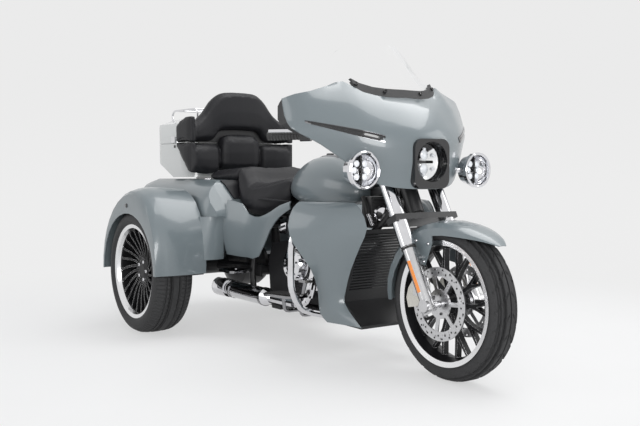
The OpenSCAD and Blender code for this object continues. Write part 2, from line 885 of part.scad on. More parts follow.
module handlebar() {
  color(black) veh() {
    both() {
      tube(bar_path, 13, 40);
      rod([1077, 351, 1008], [962, 440, 1004], 19);
      rod([1118, 319, 1009], [1080, 349, 1008], 27);
      // riser on the upper yoke
      translate([steer_x(878), 0, 878])
        rotate([0, -rake, 0])
          translate([-22, 40, 13.2])
            cylinder(r = 17, h = 30);
    }
    rod([1300, -40, 908], [1300, 40, 908], 13);
  }
}

module hand_levers() {
  color(chrome) veh()
    both()
      difference() {
        tube([[1110, 345, 1014], [1108, 386, 1026], [1000, 462, 1026]], 7, 30);
        rod([1118, 319, 1009], [1080, 349, 1008], 27.2);
      }
}

// half width, then X and Z of the top edge, the upper panel, the brow, the cheek and the lower edge
fairing_rows = [
  [0, 1372, 1168, 1470, 1096, 1540, 1000, 1546, 890, 1530, 778],
  [96, 1368, 1166, 1463, 1094, 1530, 996, 1530, 886, 1510, 780],
  [200, 1330, 1186, 1418, 1104, 1490, 992, 1478, 884, 1452, 796],
  [262, 1272, 1232, 1380, 1126, 1450, 1002, 1438, 905, 1416, 836],
  [320, 1250, 1214, 1340, 1132, 1402, 1014, 1392, 944, 1372, 892],
  [400, 1236, 1188, 1286, 1126, 1322, 1042, 1326, 1004, 1314, 962],
  [460, 1206, 1174, 1236, 1120, 1256, 1060, 1266, 1030, 1266, 1002],
  [494, 1160, 1156, 1170, 1120, 1182, 1084, 1204, 1054, 1236, 1028]];
fairing_all = curve(both_ways(fairing_rows), 2);
skin = 8;

// the fairing's section from its top edge over the brow to its lower edge, moved back by s
function fairing_edge(q, s) = let (u = curve([[q[1], q[2]], [q[3], q[4]], [q[5], q[6]]], 2),
  l = curve([[q[5], q[6]], [q[7], q[8]], [q[9], q[10]]], 2))
  [for (p = concat(u, [l[1], l[2], l[3], l[4]])) [p[0] - s, q[0], p[1]]];

module headlight_hole(g) {
  across_x(1380, 1620)
    translate([0, 884])
      square_round(bezel_half + g, 104 + g, 40);
}

// pulls a profile drawn in Y and Z from x0 to x1
module across_x(x0, x1) {
  translate([x0, 0, 0])
    rotate([90, 0, 90])
      linear_extrude(x1 - x0)
        children();
}

module square_round(w, h, r) {
  translate([-w, -h])
    round_rect(2 * w, 2 * h, r);
}

module outer_fairing() {
  color(paint) veh()
    difference() {
      loft([for (q = fairing_all) concat(fairing_edge(q, 0), rev(fairing_edge(q, skin)))]);
      headlight_hole(eps);
      // lamp stalks pass through
      both()
        rod([1384, 150, 842], [1446, 262, 857], 13);
    }
}

// half width, then X and Z of the dash's lower lip, the dash and the dash's hood
dash_rows = [[0, 1330, 940, 1236, 990, 1262, 1120], [200, 1322, 950, 1228, 1000, 1240, 1130],
  [320, 1280, 960, 1210, 1010, 1208, 1150], [400, 1240, 985, 1180, 1030, 1180, 1150],
    [460, 1190, 1014, 1150, 1050, 1150, 1140], [494, 1150, 1044, 1122, 1070, 1122, 1125]];

module inner_fairing() {
  screen_trim();
  color(black) veh()
    difference() {
      loft([for (q = fairing_all) dash_ring(q)], turn = true);
      headlight_hole(1);
      screen_skin(0.5);
      // wiring bay over the yokes
      translate([1240, -175, 800])
        cube([190, 350, 160]);
    }
}

function mix(a, b, t) = a + (b - a) * t;
function at(rows, y, i) = lookup(y, [for (r = rows) [r[0], r[i]]]);
function dash_ring(q) = let (y = abs(q[0]), e = fairing_edge(q, skin + eps),
  d = [for (i = [1:6]) at(dash_rows, y, i)])
  concat([e[0] - [0, 0, 4]], [for (i = [1:6]) e[i]],
    [[d[0], q[0], d[1]], [d[2], q[0], d[3]], [mix(d[2], d[4], 0.5), q[0], mix(d[3], d[5], 0.5)],
      [d[4], q[0], d[5]],
     [mix(d[4], e[0][0], 0.5), q[0], mix(d[5], e[0][2] - 5, 0.6)]]);

// half width, then X and Z of the base, the middle and the top edge
screen_rows = [[0, 1352, 1190, 1262, 1320, 1170, 1432], [90, 1346, 1190, 1256, 1318, 1164, 1428],
  [150, 1328, 1196, 1236, 1312, 1150, 1412],
  [200, 1300, 1212, 1206, 1300, 1128, 1376], [232, 1268, 1238, 1180, 1290, 1112, 1334]];
screen_all = curve(both_ways(screen_rows), 2);

// the screen's skin, swelled by g on all its faces
module screen_skin(g) {
  loft([for (q = screen_all)
    let (e = curve([[q[1] + 3 * g, q[2] - g], [q[3] + 3 * g, q[4] + g], [q[5], q[6]]], 2),
      f = curve([[q[1] - 4 - g, q[2] - 3 - g], [q[3] - 4 - g, q[4] - 3 - g], [q[5] - 4, q[6] - 3]], 2))
    [for (p = concat(f, rev(e))) [p[0], q[0], p[1]]]]);
}

module windscreen() {
  color(clear) veh()
    screen_skin(0);
}

// stations of the trim: those of the fairing's edge that it sits on
trim_half = 226;
trim_all = concat([-trim_half], [for (q = fairing_all) if (abs(q[0]) < trim_half - 2) q[0]], [trim_half]);

module screen_trim() {
  color(black) veh()
    difference() {
      loft([for (sy = trim_all)
        let (fx = at(fairing_all, sy, 1), fz = at(fairing_all, sy, 2), sx = at(screen_all, sy, 1),
          sz = at(screen_all, sy, 2))
        [[fx - 16, sy, fz + eps], [sx - 20, sy, sz + 10], [sx + 4, sy, sz + 14], [fx - 1, sy, fz + eps]]]);
      screen_skin(0.5);
    }
}

module headlight() {
  color(black) veh() {
    difference() {
      across_x(1440, 1546)
        translate([0, 884])
          square_round(bezel_half, 104, 40);
      across_x(1452, 1600)
        translate([0, 892])
          circle(r = lens_r);
    }
    // reflector and its ring
    difference() {
      across_x(1452, 1480)
        translate([0, 892])
          circle(r = lens_r - eps);
      across_x(1460, 1500)
        translate([0, 892])
          circle(r = lens_r - 12);
    }
  }
}

lamp_x = 1440;
lamp_z = 857;

module lamp_lenses() {
  color(clear) veh() {
    translate([1500, 0, 892])
      rotate([0, 90, 0])
        rotate_extrude()
          polygon([[0, 0], [lens_r - eps, 0], [lens_r - eps, 10], [60, 24], [30, 30], [0, 32]]);
    both()
      translate([lamp_x + 50, aux_half, lamp_z])
        rotate([0, 90, 0])
          rotate_extrude()
            polygon([[0, 0], [aux_r - 12 - eps, 0], [aux_r - 13, 6], [40, 13], [0, 15]]);
  }
}

module aux_lamps() {
  color(chrome) veh()
    both() {
      translate([lamp_x, aux_half, lamp_z])
        rotate([0, 90, 0])
          rotate_extrude()
            polygon([[0, -34], [34, -30], [62, -8], [70, 30], [aux_r, 40], [aux_r, 58], [aux_r - 6, 62],
              [aux_r - 12, 58],
              [aux_r - 12, 46], [aux_r - 16, 8], [0, 8]]);
      // stalk to the fork cover
      difference() {
        rod([1384, 150, 842], [1446, 262, 857], 10);
        rod([fork_x(500), fork_half, 500], [fork_x(900), fork_half, 900], fork_cover_r + 0.2);
      }
    }
}

// angle round the axle from the front, crown radius, half width, skirt depth
guard_rows = [[43, 372, 20, 6], [50, 362, 52, 16], [60, 350, 76, 34], [75, 340, 86, 52],
  [95, 336, 88, 60], [120, 338, 88, 62],
  [145, 342, 86, 60], [168, 345, 82, 52], [184, 346, 66, 40]];

function guard_ring(q) = let (a = q[0], r = q[1], w = q[2], s = q[3], t = 4,
  p = [[r - s, -w], [r - s * 0.45, -w * 0.985], [r - s * 0.14, -w * 0.8], [r, -w * 0.36], [r, w * 0.36],
    [r - s * 0.14, w * 0.8], [r - s * 0.45, w * 0.985], [r - s, w],
    [r - s, w - t], [r - s * 0.45 - t * 0.4, w * 0.985 - t], [r - s * 0.14 - t, w * 0.8 - t * 0.5],
      [r - t, w * 0.36], [r - t, -w * 0.36], [r - s * 0.14 - t, -w * 0.8 + t * 0.5],
      [r - s * 0.45 - t * 0.4, -w * 0.985 + t], [r - s, -w + t]])
  [for (k = p) [wheelbase + k[0] * cos(a), k[1], front_r + k[0] * sin(a)]];

module front_fender() {
  color(paint) veh() {
    loft([for (q = curve(guard_rows, 2)) guard_ring(q)]);
    // side plates to the fork legs
    both()
      across(84.4, 88.4)
        polygon([[1520, 590], [1530, 480], [1600, 470], [1640, 560], [1640, 600]]);
  }
}

module front_calipers() {
  color(alu) veh()
    both()
      difference() {
        across(58, 105.8)
          polygon([[1520, 290], [1575, 300], [1604, 352], [1598, 410], [1556, 420], [1520, 372],
            [1508, 330]]);
        wheel_at(wheelbase, front_r)
          mirror([0, 0, 1])
            translate([0, 0, 65])
              cylinder(r = 158, h = 18);
      }
}

// ---------------------------------------------------------------- wheels

// tyre section for a rim of seat radius s: half of it, then mirrored
module tyre(r, w, lip, seat) {
  h = w / 2;
  p = [[r, 0], [r - 1, h * 0.35], [r - 6, h * 0.62], [r - 20, h * 0.86], [r - 40, h * 0.98],
    [mix(r, lip, 0.72), h], [lip + 8, h * 0.93], [lip + 1, h * 0.8 + 2], [seat, h * 0.8]];
  rotate_extrude($fn = 96)
    polygon(concat(p, [[seat, h * 0.62], [r - 60, h * 0.7], [r - 26, h * 0.6], [r - 14, 0]]));
  mirror([0, 0, 1])
    rotate_extrude($fn = 96)
      polygon(concat(p, [[seat, h * 0.62], [r - 60, h * 0.7], [r - 26, h * 0.6], [r - 14, 0]]));
}

rim_seat_front = 241;
rim_half_front = front_w / 2 * 0.8;

module front_tyre() {
  color(black) veh()
    wheel_at(wheelbase, front_r)
      tyre(front_r, front_w, front_lip_r, rim_seat_front + eps);
}

module front_wheel() {
  color(black) veh()
    wheel_at(wheelbase, front_r)
      difference() {
        union() {
          for (s = [0, 1])
            mirror([0, 0, s])
              rotate_extrude($fn = 96)
                polygon([[222, -1], [rim_seat_front, -1], [rim_seat_front, rim_half_front + eps],
                  [front_lip_r, rim_half_front + 3], [front_lip_r, rim_half_front + 7],
                  [236, rim_half_front + 2], [228, rim_half_front - 22], [222, 12]]);
          rotate_extrude()
            polygon([[0, -58], [38, -58], [44, -20], [44, 20], [38, 58], [0, 58]]);
          for (i = [0:front_spokes - 1])
            rotate(i * 360 / front_spokes)
              front_spoke();
        }
        translate([0, 0, -80])
          cylinder(r = 12.5 + eps, h = 160);
      }
}

// one Y-shaped spoke, lying in the wheel's plane
module front_spoke() {
  translate([0, 0, -14])
    linear_extrude(28)
      polygon([[38, -9], [120, -8], [150, -14], [226, -40], [228, -30], [160, -4], [150, 0], [160, 4],
        [228, 30], [226, 40], [150, 14], [120, 8], [38, 9]]);
}

module front_rotors() {
  color(alu) veh()
    wheel_at(wheelbase, front_r)
      for (s = [0, 1])
        mirror([0, 0, s])
          difference() {
            union() {
              difference() {
                translate([0, 0, 71])
                  cylinder(r = 150, h = 5, $fn = 96);
                translate([0, 0, 60])
                  cylinder(r = 112, h = 30, $fn = 96);
              }
              translate([0, 0, 58])
                cylinder(r = 46, h = 12);
              translate([0, 0, 65])
                cylinder(r = 60, h = 8);
              for (i = [0:6])
                rotate(i * 360 / 7 + 5)
                  translate([50, -9, 67])
                    cube([68, 18, 5.4]);
            }
            for (i = [0:29])
              rotate(i * 12)
                translate([124 + (i % 3) * 8, 0, 60])
                  cylinder(r = 3.4, h = 30, $fn = 16);
            translate([0, 0, 50])
              cylinder(r = 14, h = 40);
          }
}

rim_seat_rear = 229;
rim_half_rear = rear_w / 2 * 0.8;

// rear wheel about its own middle, outer side towards +Z
module rear_rim() {
  difference() {
    union() {
      for (s = [0, 1])
        mirror([0, 0, s])
          rotate_extrude($fn = 96)
            polygon([[212, -1], [rim_seat_rear, -1], [rim_seat_rear, rim_half_rear + eps],
              [rear_lip_r, rim_half_rear + 3], [rear_lip_r, rim_half_rear + 9],
              [226, rim_half_rear + 4], [216, rim_half_rear - 20], [212, 20]]);
      rotate_extrude()
        polygon([[0, -62], [48, -62], [50, -30], [60, 6], [58, 36], [30, 44], [0, 44]]);
      for (i = [0:rear_spokes - 1])
        rotate(i * 360 / rear_spokes)
          rear_spoke();
      // brake disc on the inner side
      translate([0, 0, -102])
        cylinder(r = 140, h = 6);
      translate([0, 0, -98])
        cylinder(r = 52, h = 40);
    }
    translate([0, 0, -120])
      cylinder(r = stub_r + eps, h = 130);
  }
}

// one curved spoke: radius, turn, half thickness, front face, depth
module rear_spoke() {
  loft([for (q = [[50, 0, 7, 34, 30], [95, 4, 5.5, 44, 26], [145, 9, 5, 56, 22], [190, 13, 5, 66, 20],
    [220, 14, 6, 72, 20]])
    let (r = q[0], a = q[1] * 1.4, t = q[2])
    [[r * cos(a) + t * sin(a), r * sin(a) - t * cos(a), q[3] - q[4]],
      [r * cos(a) - t * sin(a), r * sin(a) + t * cos(a), q[3] - q[4]],
     [r * cos(a) - t * sin(a), r * sin(a) + t * cos(a), q[3]],
       [r * cos(a) + t * sin(a), r * sin(a) - t * cos(a), q[3]]]]);
}

module rear_place(side) {
  translate([0, side * rear_track_half, rear_r])
    rotate([-side * 90, 0, 0])
      children();
}

module right_tyre() {
  color(black) veh()
    rear_place(-1)
      tyre(rear_r, rear_w, rear_lip_r, rim_seat_rear + eps);
}

module left_tyre() {
  color(black) veh()
    rear_place(1)
      tyre(rear_r, rear_w, rear_lip_r, rim_seat_rear + eps);
}

module right_wheel() {
  color(black) veh()
    rear_place(-1)
      rear_rim();
}

module left_wheel() {
  color(black) veh()
    rear_place(1)
      rear_rim();
}

frame();
engine();
engine_covers();
air_cleaner();
exhausts();
rear_axle();
fuel_tank();
tank_console();
rider_seat();
passenger_seat();
rear_body();
rear_fenders();
fender_liners();
tail_lamps();
rear_bumper();
top_case_base();
backrest_pads();
leg_shields();
radiator_panel();
foot_boards();
engine_guard();
top_case_lid();
lid_pads();
luggage_rack();
trunk_door();
yokes();
fork_covers();
fork_legs();
handlebar();
hand_levers();
outer_fairing();
inner_fairing();
windscreen();
headlight();
lamp_lenses();
aux_lamps();
front_fender();
front_calipers();
front_tyre();
front_wheel();
front_rotors();
right_tyre();
right_wheel();
left_tyre();
left_wheel();
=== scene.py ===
import json
import math
from contextlib import contextmanager

import bmesh
import bpy
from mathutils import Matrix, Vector
from mathutils.bvhtree import BVHTree


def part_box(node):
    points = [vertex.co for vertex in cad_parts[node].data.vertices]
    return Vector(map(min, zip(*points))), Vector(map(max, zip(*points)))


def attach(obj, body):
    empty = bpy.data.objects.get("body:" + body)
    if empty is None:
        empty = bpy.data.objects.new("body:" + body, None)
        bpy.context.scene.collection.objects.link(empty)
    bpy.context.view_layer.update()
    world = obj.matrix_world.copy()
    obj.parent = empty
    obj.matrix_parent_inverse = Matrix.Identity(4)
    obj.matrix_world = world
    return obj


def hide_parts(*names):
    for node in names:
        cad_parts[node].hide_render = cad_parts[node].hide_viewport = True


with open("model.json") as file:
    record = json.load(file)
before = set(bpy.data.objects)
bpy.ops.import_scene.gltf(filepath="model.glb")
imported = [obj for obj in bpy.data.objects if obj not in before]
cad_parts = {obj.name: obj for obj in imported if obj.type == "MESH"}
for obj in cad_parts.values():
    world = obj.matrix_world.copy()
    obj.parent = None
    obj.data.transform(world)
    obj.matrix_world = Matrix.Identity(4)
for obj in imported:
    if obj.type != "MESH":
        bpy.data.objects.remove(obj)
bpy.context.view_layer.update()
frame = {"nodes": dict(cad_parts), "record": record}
NODES = frame["nodes"]
JOINTS = {j["name"]: j for j in frame["record"]["behaviour"]["joints"]}
AXLE_X, RIGHT_Y, REAR_Z = JOINTS["right_wheel_spin"]["pos_m"]
TRACK = abs(RIGHT_Y)
FRONT_X, _, FRONT_Z = JOINTS["front_wheel_spin"]["pos_m"]
FRONT_HUB, RIGHT_HUB, LEFT_HUB = (FRONT_X, 0, FRONT_Z), (AXLE_X, -TRACK, REAR_Z), (AXLE_X, TRACK, REAR_Z)

SIDES = ((-1, "right"), (1, "left"))
FORWARD, BACKWARD, DOWN = (1, 0, 0), (-1, 0, 0), (0, 0, -1)


def V(x, y, z):
    """A point in millimetres: forward of the rear axle, left of the middle, above the floor."""
    return Vector((AXLE_X + x / 1000, y / 1000, z / 1000))


# ---------------------------------------------------------------- materials


def add(nt, kind, inputs=None, **settings):
    """A new shader node with its settings and its inputs' values."""
    node = nt.nodes.new("ShaderNode" + kind)
    for key, value in settings.items():
        setattr(node, key, value)
    for key, value in (inputs or {}).items():
        node.inputs[key].default_value = value
    return node


def calc(nt, kind, operation, *terms):
    """The result of a Math or VectorMath node; each term is a socket or a fixed value."""
    node = add(nt, kind, operation=operation)
    for place, term in zip(node.inputs, terms):
        if isinstance(term, bpy.types.NodeSocket):
            nt.links.new(term, place)
        else:
            place.default_value = term
    return node.outputs["Value" if kind == "Math" or operation in ("LENGTH", "DOT_PRODUCT") else "Vector"]


def blend(nt, share, first, second):
    """The surface becomes the first shader where the share is 0 and the second where it is 1."""
    mix = add(nt, "MixShader")
    out = nt.nodes.get("Material Output") or nt.nodes["World Output"]
    nt.links.new(share, mix.inputs[0])
    nt.links.new(first.outputs[0], mix.inputs[1])
    nt.links.new(second.outputs[0], mix.inputs[2])
    nt.links.new(mix.outputs[0], out.inputs["Surface"])


def seen(nt):
    """1 for rays that see the surface (camera, glossy, transmission), 0 for the light that it gives off."""
    path = add(nt, "LightPath").outputs
    mirrored = calc(nt, "Math", "ADD", path["Is Camera Ray"], path["Is Glossy Ray"])
    total = calc(nt, "Math", "ADD", mirrored, path["Is Transmission Ray"])
    total.node.use_clamp = True
    return total


ROUGH_VARY = 0.08


def material(name, color, rough, metal=0.0, vary=0.06, scale=60.0, bump=0.05, coat=0.0, dist=0.0006, spec=0.5):
    """A surface whose colour, roughness and fine relief follow one noise."""
    m = bpy.data.materials.new(name)
    m.use_nodes = True
    nt = m.node_tree
    link = nt.links.new
    main = nt.nodes["Principled BSDF"]
    noise = add(nt, "TexNoise", {"Scale": scale, "Detail": 6.0})
    link(add(nt, "TexCoord").outputs["Object"], noise.inputs["Vector"])
    ramp = add(nt, "ValToRGB")
    for stop, position, change in zip(ramp.color_ramp.elements, (0.35, 0.65), (1 - vary, 1 + vary)):
        stop.position = position
        stop.color = (*(min(1.0, max(0.0, c * change)) for c in color), 1)
    link(noise.outputs["Fac"], ramp.inputs["Fac"])
    link(ramp.outputs["Color"], main.inputs["Base Color"])
    gloss = add(nt, "MapRange", {"To Min": max(0.0, rough * (1 - ROUGH_VARY)),
                                 "To Max": min(1.0, rough * (1 + ROUGH_VARY))})
    link(noise.outputs["Fac"], gloss.inputs["Value"])
    link(gloss.outputs["Result"], main.inputs["Roughness"])
    for key, value in (("Metallic", metal), ("Coat Weight", coat), ("Coat Roughness", 0.06),
                       ("Specular IOR Level", spec)):
        main.inputs[key].default_value = value
    if bump:
        relief = add(nt, "Bump", {"Strength": bump, "Distance": dist})
        link(noise.outputs["Fac"], relief.inputs["Height"])
        link(relief.outputs["Normal"], main.inputs["Normal"])
    return m


paint = material("paint_grey", (0.150, 0.178, 0.190), 0.30, vary=0.03, scale=900, bump=0.0, coat=0.55)
# the case's grey paint lightened to near white: a painted reflection of the pale surroundings in its gloss
case_paint_painted_reflection = material("paint_case_painted_reflection", (0.60, 0.61, 0.60), 0.22, vary=0.02, scale=900, bump=0.0, coat=1.0)
black = material("satin_black", (0.012, 0.012, 0.013), 0.38, vary=0.2, scale=300, bump=0.08)
engine_black = material("wrinkle_black", (0.020, 0.020, 0.022), 0.48, vary=0.3, scale=700, bump=0.35)
plastic = material("black_plastic", (0.014, 0.014, 0.015), 0.45, vary=0.2, scale=900, bump=0.25)
gloss_black = material("gloss_black", (0.008, 0.008, 0.009), 0.12, vary=0.2, scale=100, bump=0.02, coat=0.6)
chrome = material("chrome_bright", (0.72, 0.72, 0.74), 0.07, metal=1.0, vary=0.03, scale=40, bump=0.0)
dark_chrome = material("chrome_dark", (0.30, 0.30, 0.31), 0.12, metal=1.0, vary=0.05, scale=40, bump=0.0)
alloy = material("alloy_satin", (0.58, 0.58, 0.59), 0.28, metal=1.0, vary=0.05, scale=120, bump=0.04)
rubber = material("tyre_rubber", (0.022, 0.022, 0.023), 0.72, vary=0.25, scale=180, bump=0.3)
soft_rubber = material("grip_rubber", (0.012, 0.012, 0.012), 0.6, vary=0.25, scale=400, bump=0.3)
leather = material("seat_leather", (0.011, 0.011, 0.013), 0.5, vary=0.2, scale=420, bump=0.5, dist=0.0008,
                   spec=0.28)
amber = material("amber_reflector", (0.75, 0.24, 0.04), 0.2, vary=0.1, scale=700, bump=0.4, coat=0.6)
red_glass = material("red_lamp", (0.35, 0.01, 0.012), 0.12, vary=0.12, scale=300, bump=0.2, coat=1.0)
led = material("led_white", (0.9, 0.92, 0.95), 0.15, vary=0.03, scale=300, bump=0.1, coat=1.0)
caliper_mat = material("caliper_alloy", (0.62, 0.60, 0.55), 0.30, metal=0.7, vary=0.08, scale=160, bump=0.1)
fork_alloy = material("fork_alloy", (0.60, 0.60, 0.61), 0.20, metal=1.0, vary=0.03, scale=60, bump=0.02)


def clear_glass(name, color, share):
    """Thin clear plastic: mostly see-through, with a glossy skin that shows more at a glancing angle."""
    m = material(name, color, 0.03, vary=0.05, scale=30, bump=0.0, coat=1.0)
    nt = m.node_tree
    glance = add(nt, "LayerWeight", {"Blend": 0.05}).outputs["Fresnel"]
    blend(nt, calc(nt, "Math", "MULTIPLY", glance, share), add(nt, "BsdfTransparent"),
          nt.nodes["Principled BSDF"])
    return m


screen_mat = clear_glass("screen_clear", (0.55, 0.57, 0.58), 0.3)
lens_mat = clear_glass("lens_clear", (0.6, 0.63, 0.66), 0.8)


def cut_wheel(name, node, hub, lip):
    """Black castings whose edges, and whose faces within lip of the rim's outer edge, are machined bright."""
    m = material(name, (0.006, 0.006, 0.007), 0.42, vary=0.2, scale=300, bump=0.05, spec=0.3)
    nt = m.node_tree
    rounded = add(nt, "Bevel", {"Radius": 0.0020}, samples=6).outputs[0]
    flat = add(nt, "NewGeometry").outputs["True Normal"]
    edge = calc(nt, "Math", "LESS_THAN", calc(nt, "VectorMath", "DOT_PRODUCT", rounded, flat), 0.90)
    place = calc(nt, "VectorMath", "SUBTRACT", add(nt, "TexCoord").outputs["Object"], hub)
    radius = calc(nt, "VectorMath", "LENGTH", calc(nt, "VectorMath", "MULTIPLY", place, (1, 0, 1)))
    outer = max(math.hypot(v.co.x - hub[0], v.co.z - hub[2]) for v in NODES[node].data.vertices)
    rim = calc(nt, "Math", "GREATER_THAN", radius, outer - lip)
    bright = add(nt, "BsdfPrincipled", {"Base Color": (0.78, 0.78, 0.79, 1), "Metallic": 1.0, "Roughness": 0.2})
    blend(nt, calc(nt, "Math", "MAXIMUM", edge, rim), nt.nodes["Principled BSDF"], bright)
    return m


def bowl_painted_reflection(centre):
    """Bright plating that turns black over the bowl's upper inner side: a painted dark reflection."""
    m = material("lamp_bowl_painted_reflection", (0.86, 0.87, 0.88), 0.22, metal=1.0, vary=0.03, scale=40, bump=0.0)
    nt = m.node_tree
    place = calc(nt, "VectorMath", "SUBTRACT", add(nt, "TexCoord").outputs["Object"], centre)
    height = calc(nt, "VectorMath", "DOT_PRODUCT", place, (0, -0.62, 0.78))
    # painted dark reflection: how far the bowl turns black, rising over its upper inner side
    painted_reflection_share = add(nt, "MapRange", {"From Min": 0.012, "From Max": 0.017})
    nt.links.new(height, painted_reflection_share.inputs["Value"])
    # the black of the painted dark reflection
    dark = add(nt, "BsdfPrincipled", {"Base Color": (0.01, 0.01, 0.012, 1), "Roughness": 0.15})
    blend(nt, painted_reflection_share.outputs["Result"], nt.nodes["Principled BSDF"], dark)
    return m


def assign(obj, mat):
    obj.data.materials.clear()
    obj.data.materials.append(mat)


def smooth(obj, angle=32):
    """Smooth shading that breaks where faces meet at more than the angle."""
    mesh = obj.data
    mesh.polygons.foreach_set("use_smooth", [True] * len(mesh.polygons))
    mesh.set_sharp_from_angle(angle=math.radians(angle))


FRONT_LIP, REAR_LIP = 0.022, 0.026
NODE_MAT = {
    "frame": black, "engine": engine_black, "engine_covers": chrome, "air_cleaner": gloss_black,
    "exhausts": chrome, "rear_axle": black, "fuel_tank": paint, "tank_console": dark_chrome,
    "rider_seat": leather, "passenger_seat": leather, "rear_body": paint, "rear_fenders": paint,
    "fender_liners": plastic, "tail_lamps": red_glass, "rear_bumper": chrome, "top_case_base": case_paint_painted_reflection,
    "backrest_pads": leather, "leg_shields": paint, "radiator_panel": plastic, "foot_boards": dark_chrome,
    "engine_guard": chrome, "top_case_lid": case_paint_painted_reflection, "lid_pads": leather, "luggage_rack": chrome,
    "trunk_door": paint, "yokes": black, "fork_covers": chrome, "fork_legs": fork_alloy,
    "handlebar": gloss_black, "hand_levers": chrome, "outer_fairing": paint, "inner_fairing": plastic,
    "windscreen": screen_mat, "headlight": gloss_black, "lamp_lenses": lens_mat, "aux_lamps": chrome,
    "front_fender": paint, "front_calipers": caliper_mat, "front_tyre": rubber,
    "front_wheel": cut_wheel("wheel_front", "front_wheel", FRONT_HUB, FRONT_LIP), "front_rotors": alloy,
    "right_tyre": rubber, "right_wheel": cut_wheel("wheel_right", "right_wheel", RIGHT_HUB, REAR_LIP),
    "left_tyre": rubber, "left_wheel": cut_wheel("wheel_left", "left_wheel", LEFT_HUB, REAR_LIP)}
for node, mat in NODE_MAT.items():
    assign(NODES[node], mat)
    smooth(NODES[node], 42 if mat in (paint, case_paint_painted_reflection) else 32)

# ---------------------------------------------------------------- camera, floor and light

CAMERA_TURN, CAMERA_DROP, CAMERA_ROLL = 54.83, 3.13, -0.07  # degrees, fitted to the photo

cam_data = bpy.data.cameras.new("camera")
cam = bpy.data.objects.new("camera", cam_data)
bpy.context.scene.collection.objects.link(cam)
cam_data.sensor_width = 36.0
cam_data.lens = 47.88
cam_data.clip_end = 100.0
cam.location = V(4176.8, -2427.1, 872.4)
cam.rotation_euler = (math.radians(90 - CAMERA_DROP), math.radians(CAMERA_ROLL), math.radians(CAMERA_TURN))
bpy.context.scene.camera = cam


def mesh_object(name, verts, faces, mat=None, angle=None):
    mesh = bpy.data.meshes.new(name)
    mesh.from_pydata([tuple(v) for v in verts], [], faces)
    mesh.update()
    o = bpy.data.objects.new(name, mesh)
    bpy.context.scene.collection.objects.link(o)
    if mat:
        mesh.materials.append(mat)
    if angle is not None:
        smooth(o, angle)
    return o


def floor_look():
    """A pale floor: seen directly, its own light carries part of its tone, so that the shadow is soft."""
    m = material("floor_pale", (0.86, 0.86, 0.86), 0.6, vary=0.01, scale=2, bump=0.0, spec=0.2)
    nt = m.node_tree
    link = nt.links.new
    place = add(nt, "TexCoord").outputs["Object"]
    split = add(nt, "SeparateXYZ")
    link(place, split.inputs[0])
    rise = add(nt, "MapRange", {"From Min": 0.0, "From Max": 2.2}, interpolation_type="SMOOTHSTEP")
    link(split.outputs["Z"], rise.inputs["Value"])
    tone = add(nt, "MixRGB", {1: (0.85, 0.85, 0.85, 1), 2: (0.83, 0.83, 0.83, 1)})
    link(rise.outputs["Result"], tone.inputs[0])
    glow = add(nt, "Emission")
    link(tone.outputs[0], glow.inputs["Color"])
    near = add(nt, "MapRange", {"From Min": 1.2, "From Max": 3.6, "To Min": 0.62, "To Max": 1.0},
               interpolation_type="SMOOTHSTEP")
    link(calc(nt, "VectorMath", "LENGTH", place), near.inputs["Value"])
    blend(nt, calc(nt, "Math", "MULTIPLY", near.outputs["Result"], seen(nt)), nt.nodes["Principled BSDF"], glow)
    return m


def backdrop():
    """A pale floor that curves up behind into a wall, turned to face the camera."""
    start, bend, radius, top, half = -7.0, 5.5, 2.5, 9.0, 14
    curve = [math.radians(a) for a in range(10, 91, 10)]
    prof = [(start, 0.0), (bend, 0.0)]
    prof += [(bend + radius * math.sin(a), radius - radius * math.cos(a)) for a in curve]
    prof += [(bend + radius, top)]
    turn = math.radians(CAMERA_TURN + 90)
    away = Vector((math.cos(turn), math.sin(turn), 0))
    across = Vector((-away.y, away.x, 0))
    verts = [away * f + across * w + Vector((0, 0, z - 0.0005)) for f, z in prof for w in (-half, half)]
    faces = [(2 * i, 2 * i + 1, 2 * i + 3, 2 * i + 2) for i in range(len(prof) - 1)]
    mesh_object("backdrop", verts, faces, floor_look(), 80)


def surroundings():
    """A faintly cool sky for the light, and a pale one wherever it is seen or mirrored."""
    world = bpy.data.worlds.new("world")
    bpy.context.scene.world = world
    world.use_nodes = True
    nt = world.node_tree
    sky = nt.nodes["Background"]
    sky.inputs["Color"].default_value = (0.93, 0.96, 1.0, 1)
    sky.inputs["Strength"].default_value = 0.50
    blend(nt, seen(nt), sky, add(nt, "Background", {"Color": (0.9, 0.9, 0.9, 1), "Strength": 1.0}))


def area(name, place, target, size, power):
    lamp = bpy.data.lights.new(name, "AREA")
    lamp.energy = power
    lamp.shape = "RECTANGLE"
    lamp.size = lamp.size_y = size
    o = bpy.data.objects.new(name, lamp)
    o.location = place
    o.rotation_euler = (Vector(target) - Vector(place)).to_track_quat("-Z", "Y").to_euler()
    bpy.context.scene.collection.objects.link(o)


backdrop()
surroundings()
area("top_light", (0.6, 1.2, 4.8), (0.1, 0, 0.4), 4.0, 170)
area("front_light", (5.0, -2.6, 1.6), (0.6, 0, 0.5), 2.2, 120)
area("fill_light", (3.5, 4.5, 3.0), (0.4, 0, 0.6), 3.0, 50)
area("side_light", (-1.5, -5.5, 2.6), (-0.6, 0, 0.6), 3.0, 45)
bpy.context.scene.view_settings.view_transform = "Standard"
bpy.context.scene.view_settings.look = "None"

# ---------------------------------------------------------------- helpers for pieces


@contextmanager
def edit(o):
    """Opens the object's mesh for bmesh operations, and writes it back."""
    bm = bmesh.new()
    bm.from_mesh(o.data)
    yield bm
    bm.to_mesh(o.data)
    bm.free()


def ride(o, body):
    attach(o, body)


def tree_of(*names):
    """A search tree over CAD nodes."""
    verts, polys = [], []
    for n in names:
        mesh = NODES[n].data
        base = len(verts)
        verts += [NODES[n].matrix_world @ v.co for v in mesh.vertices]
        polys += [tuple(base + i for i in p.vertices) for p in mesh.polygons]
    return BVHTree.FromPolygons(verts, polys)


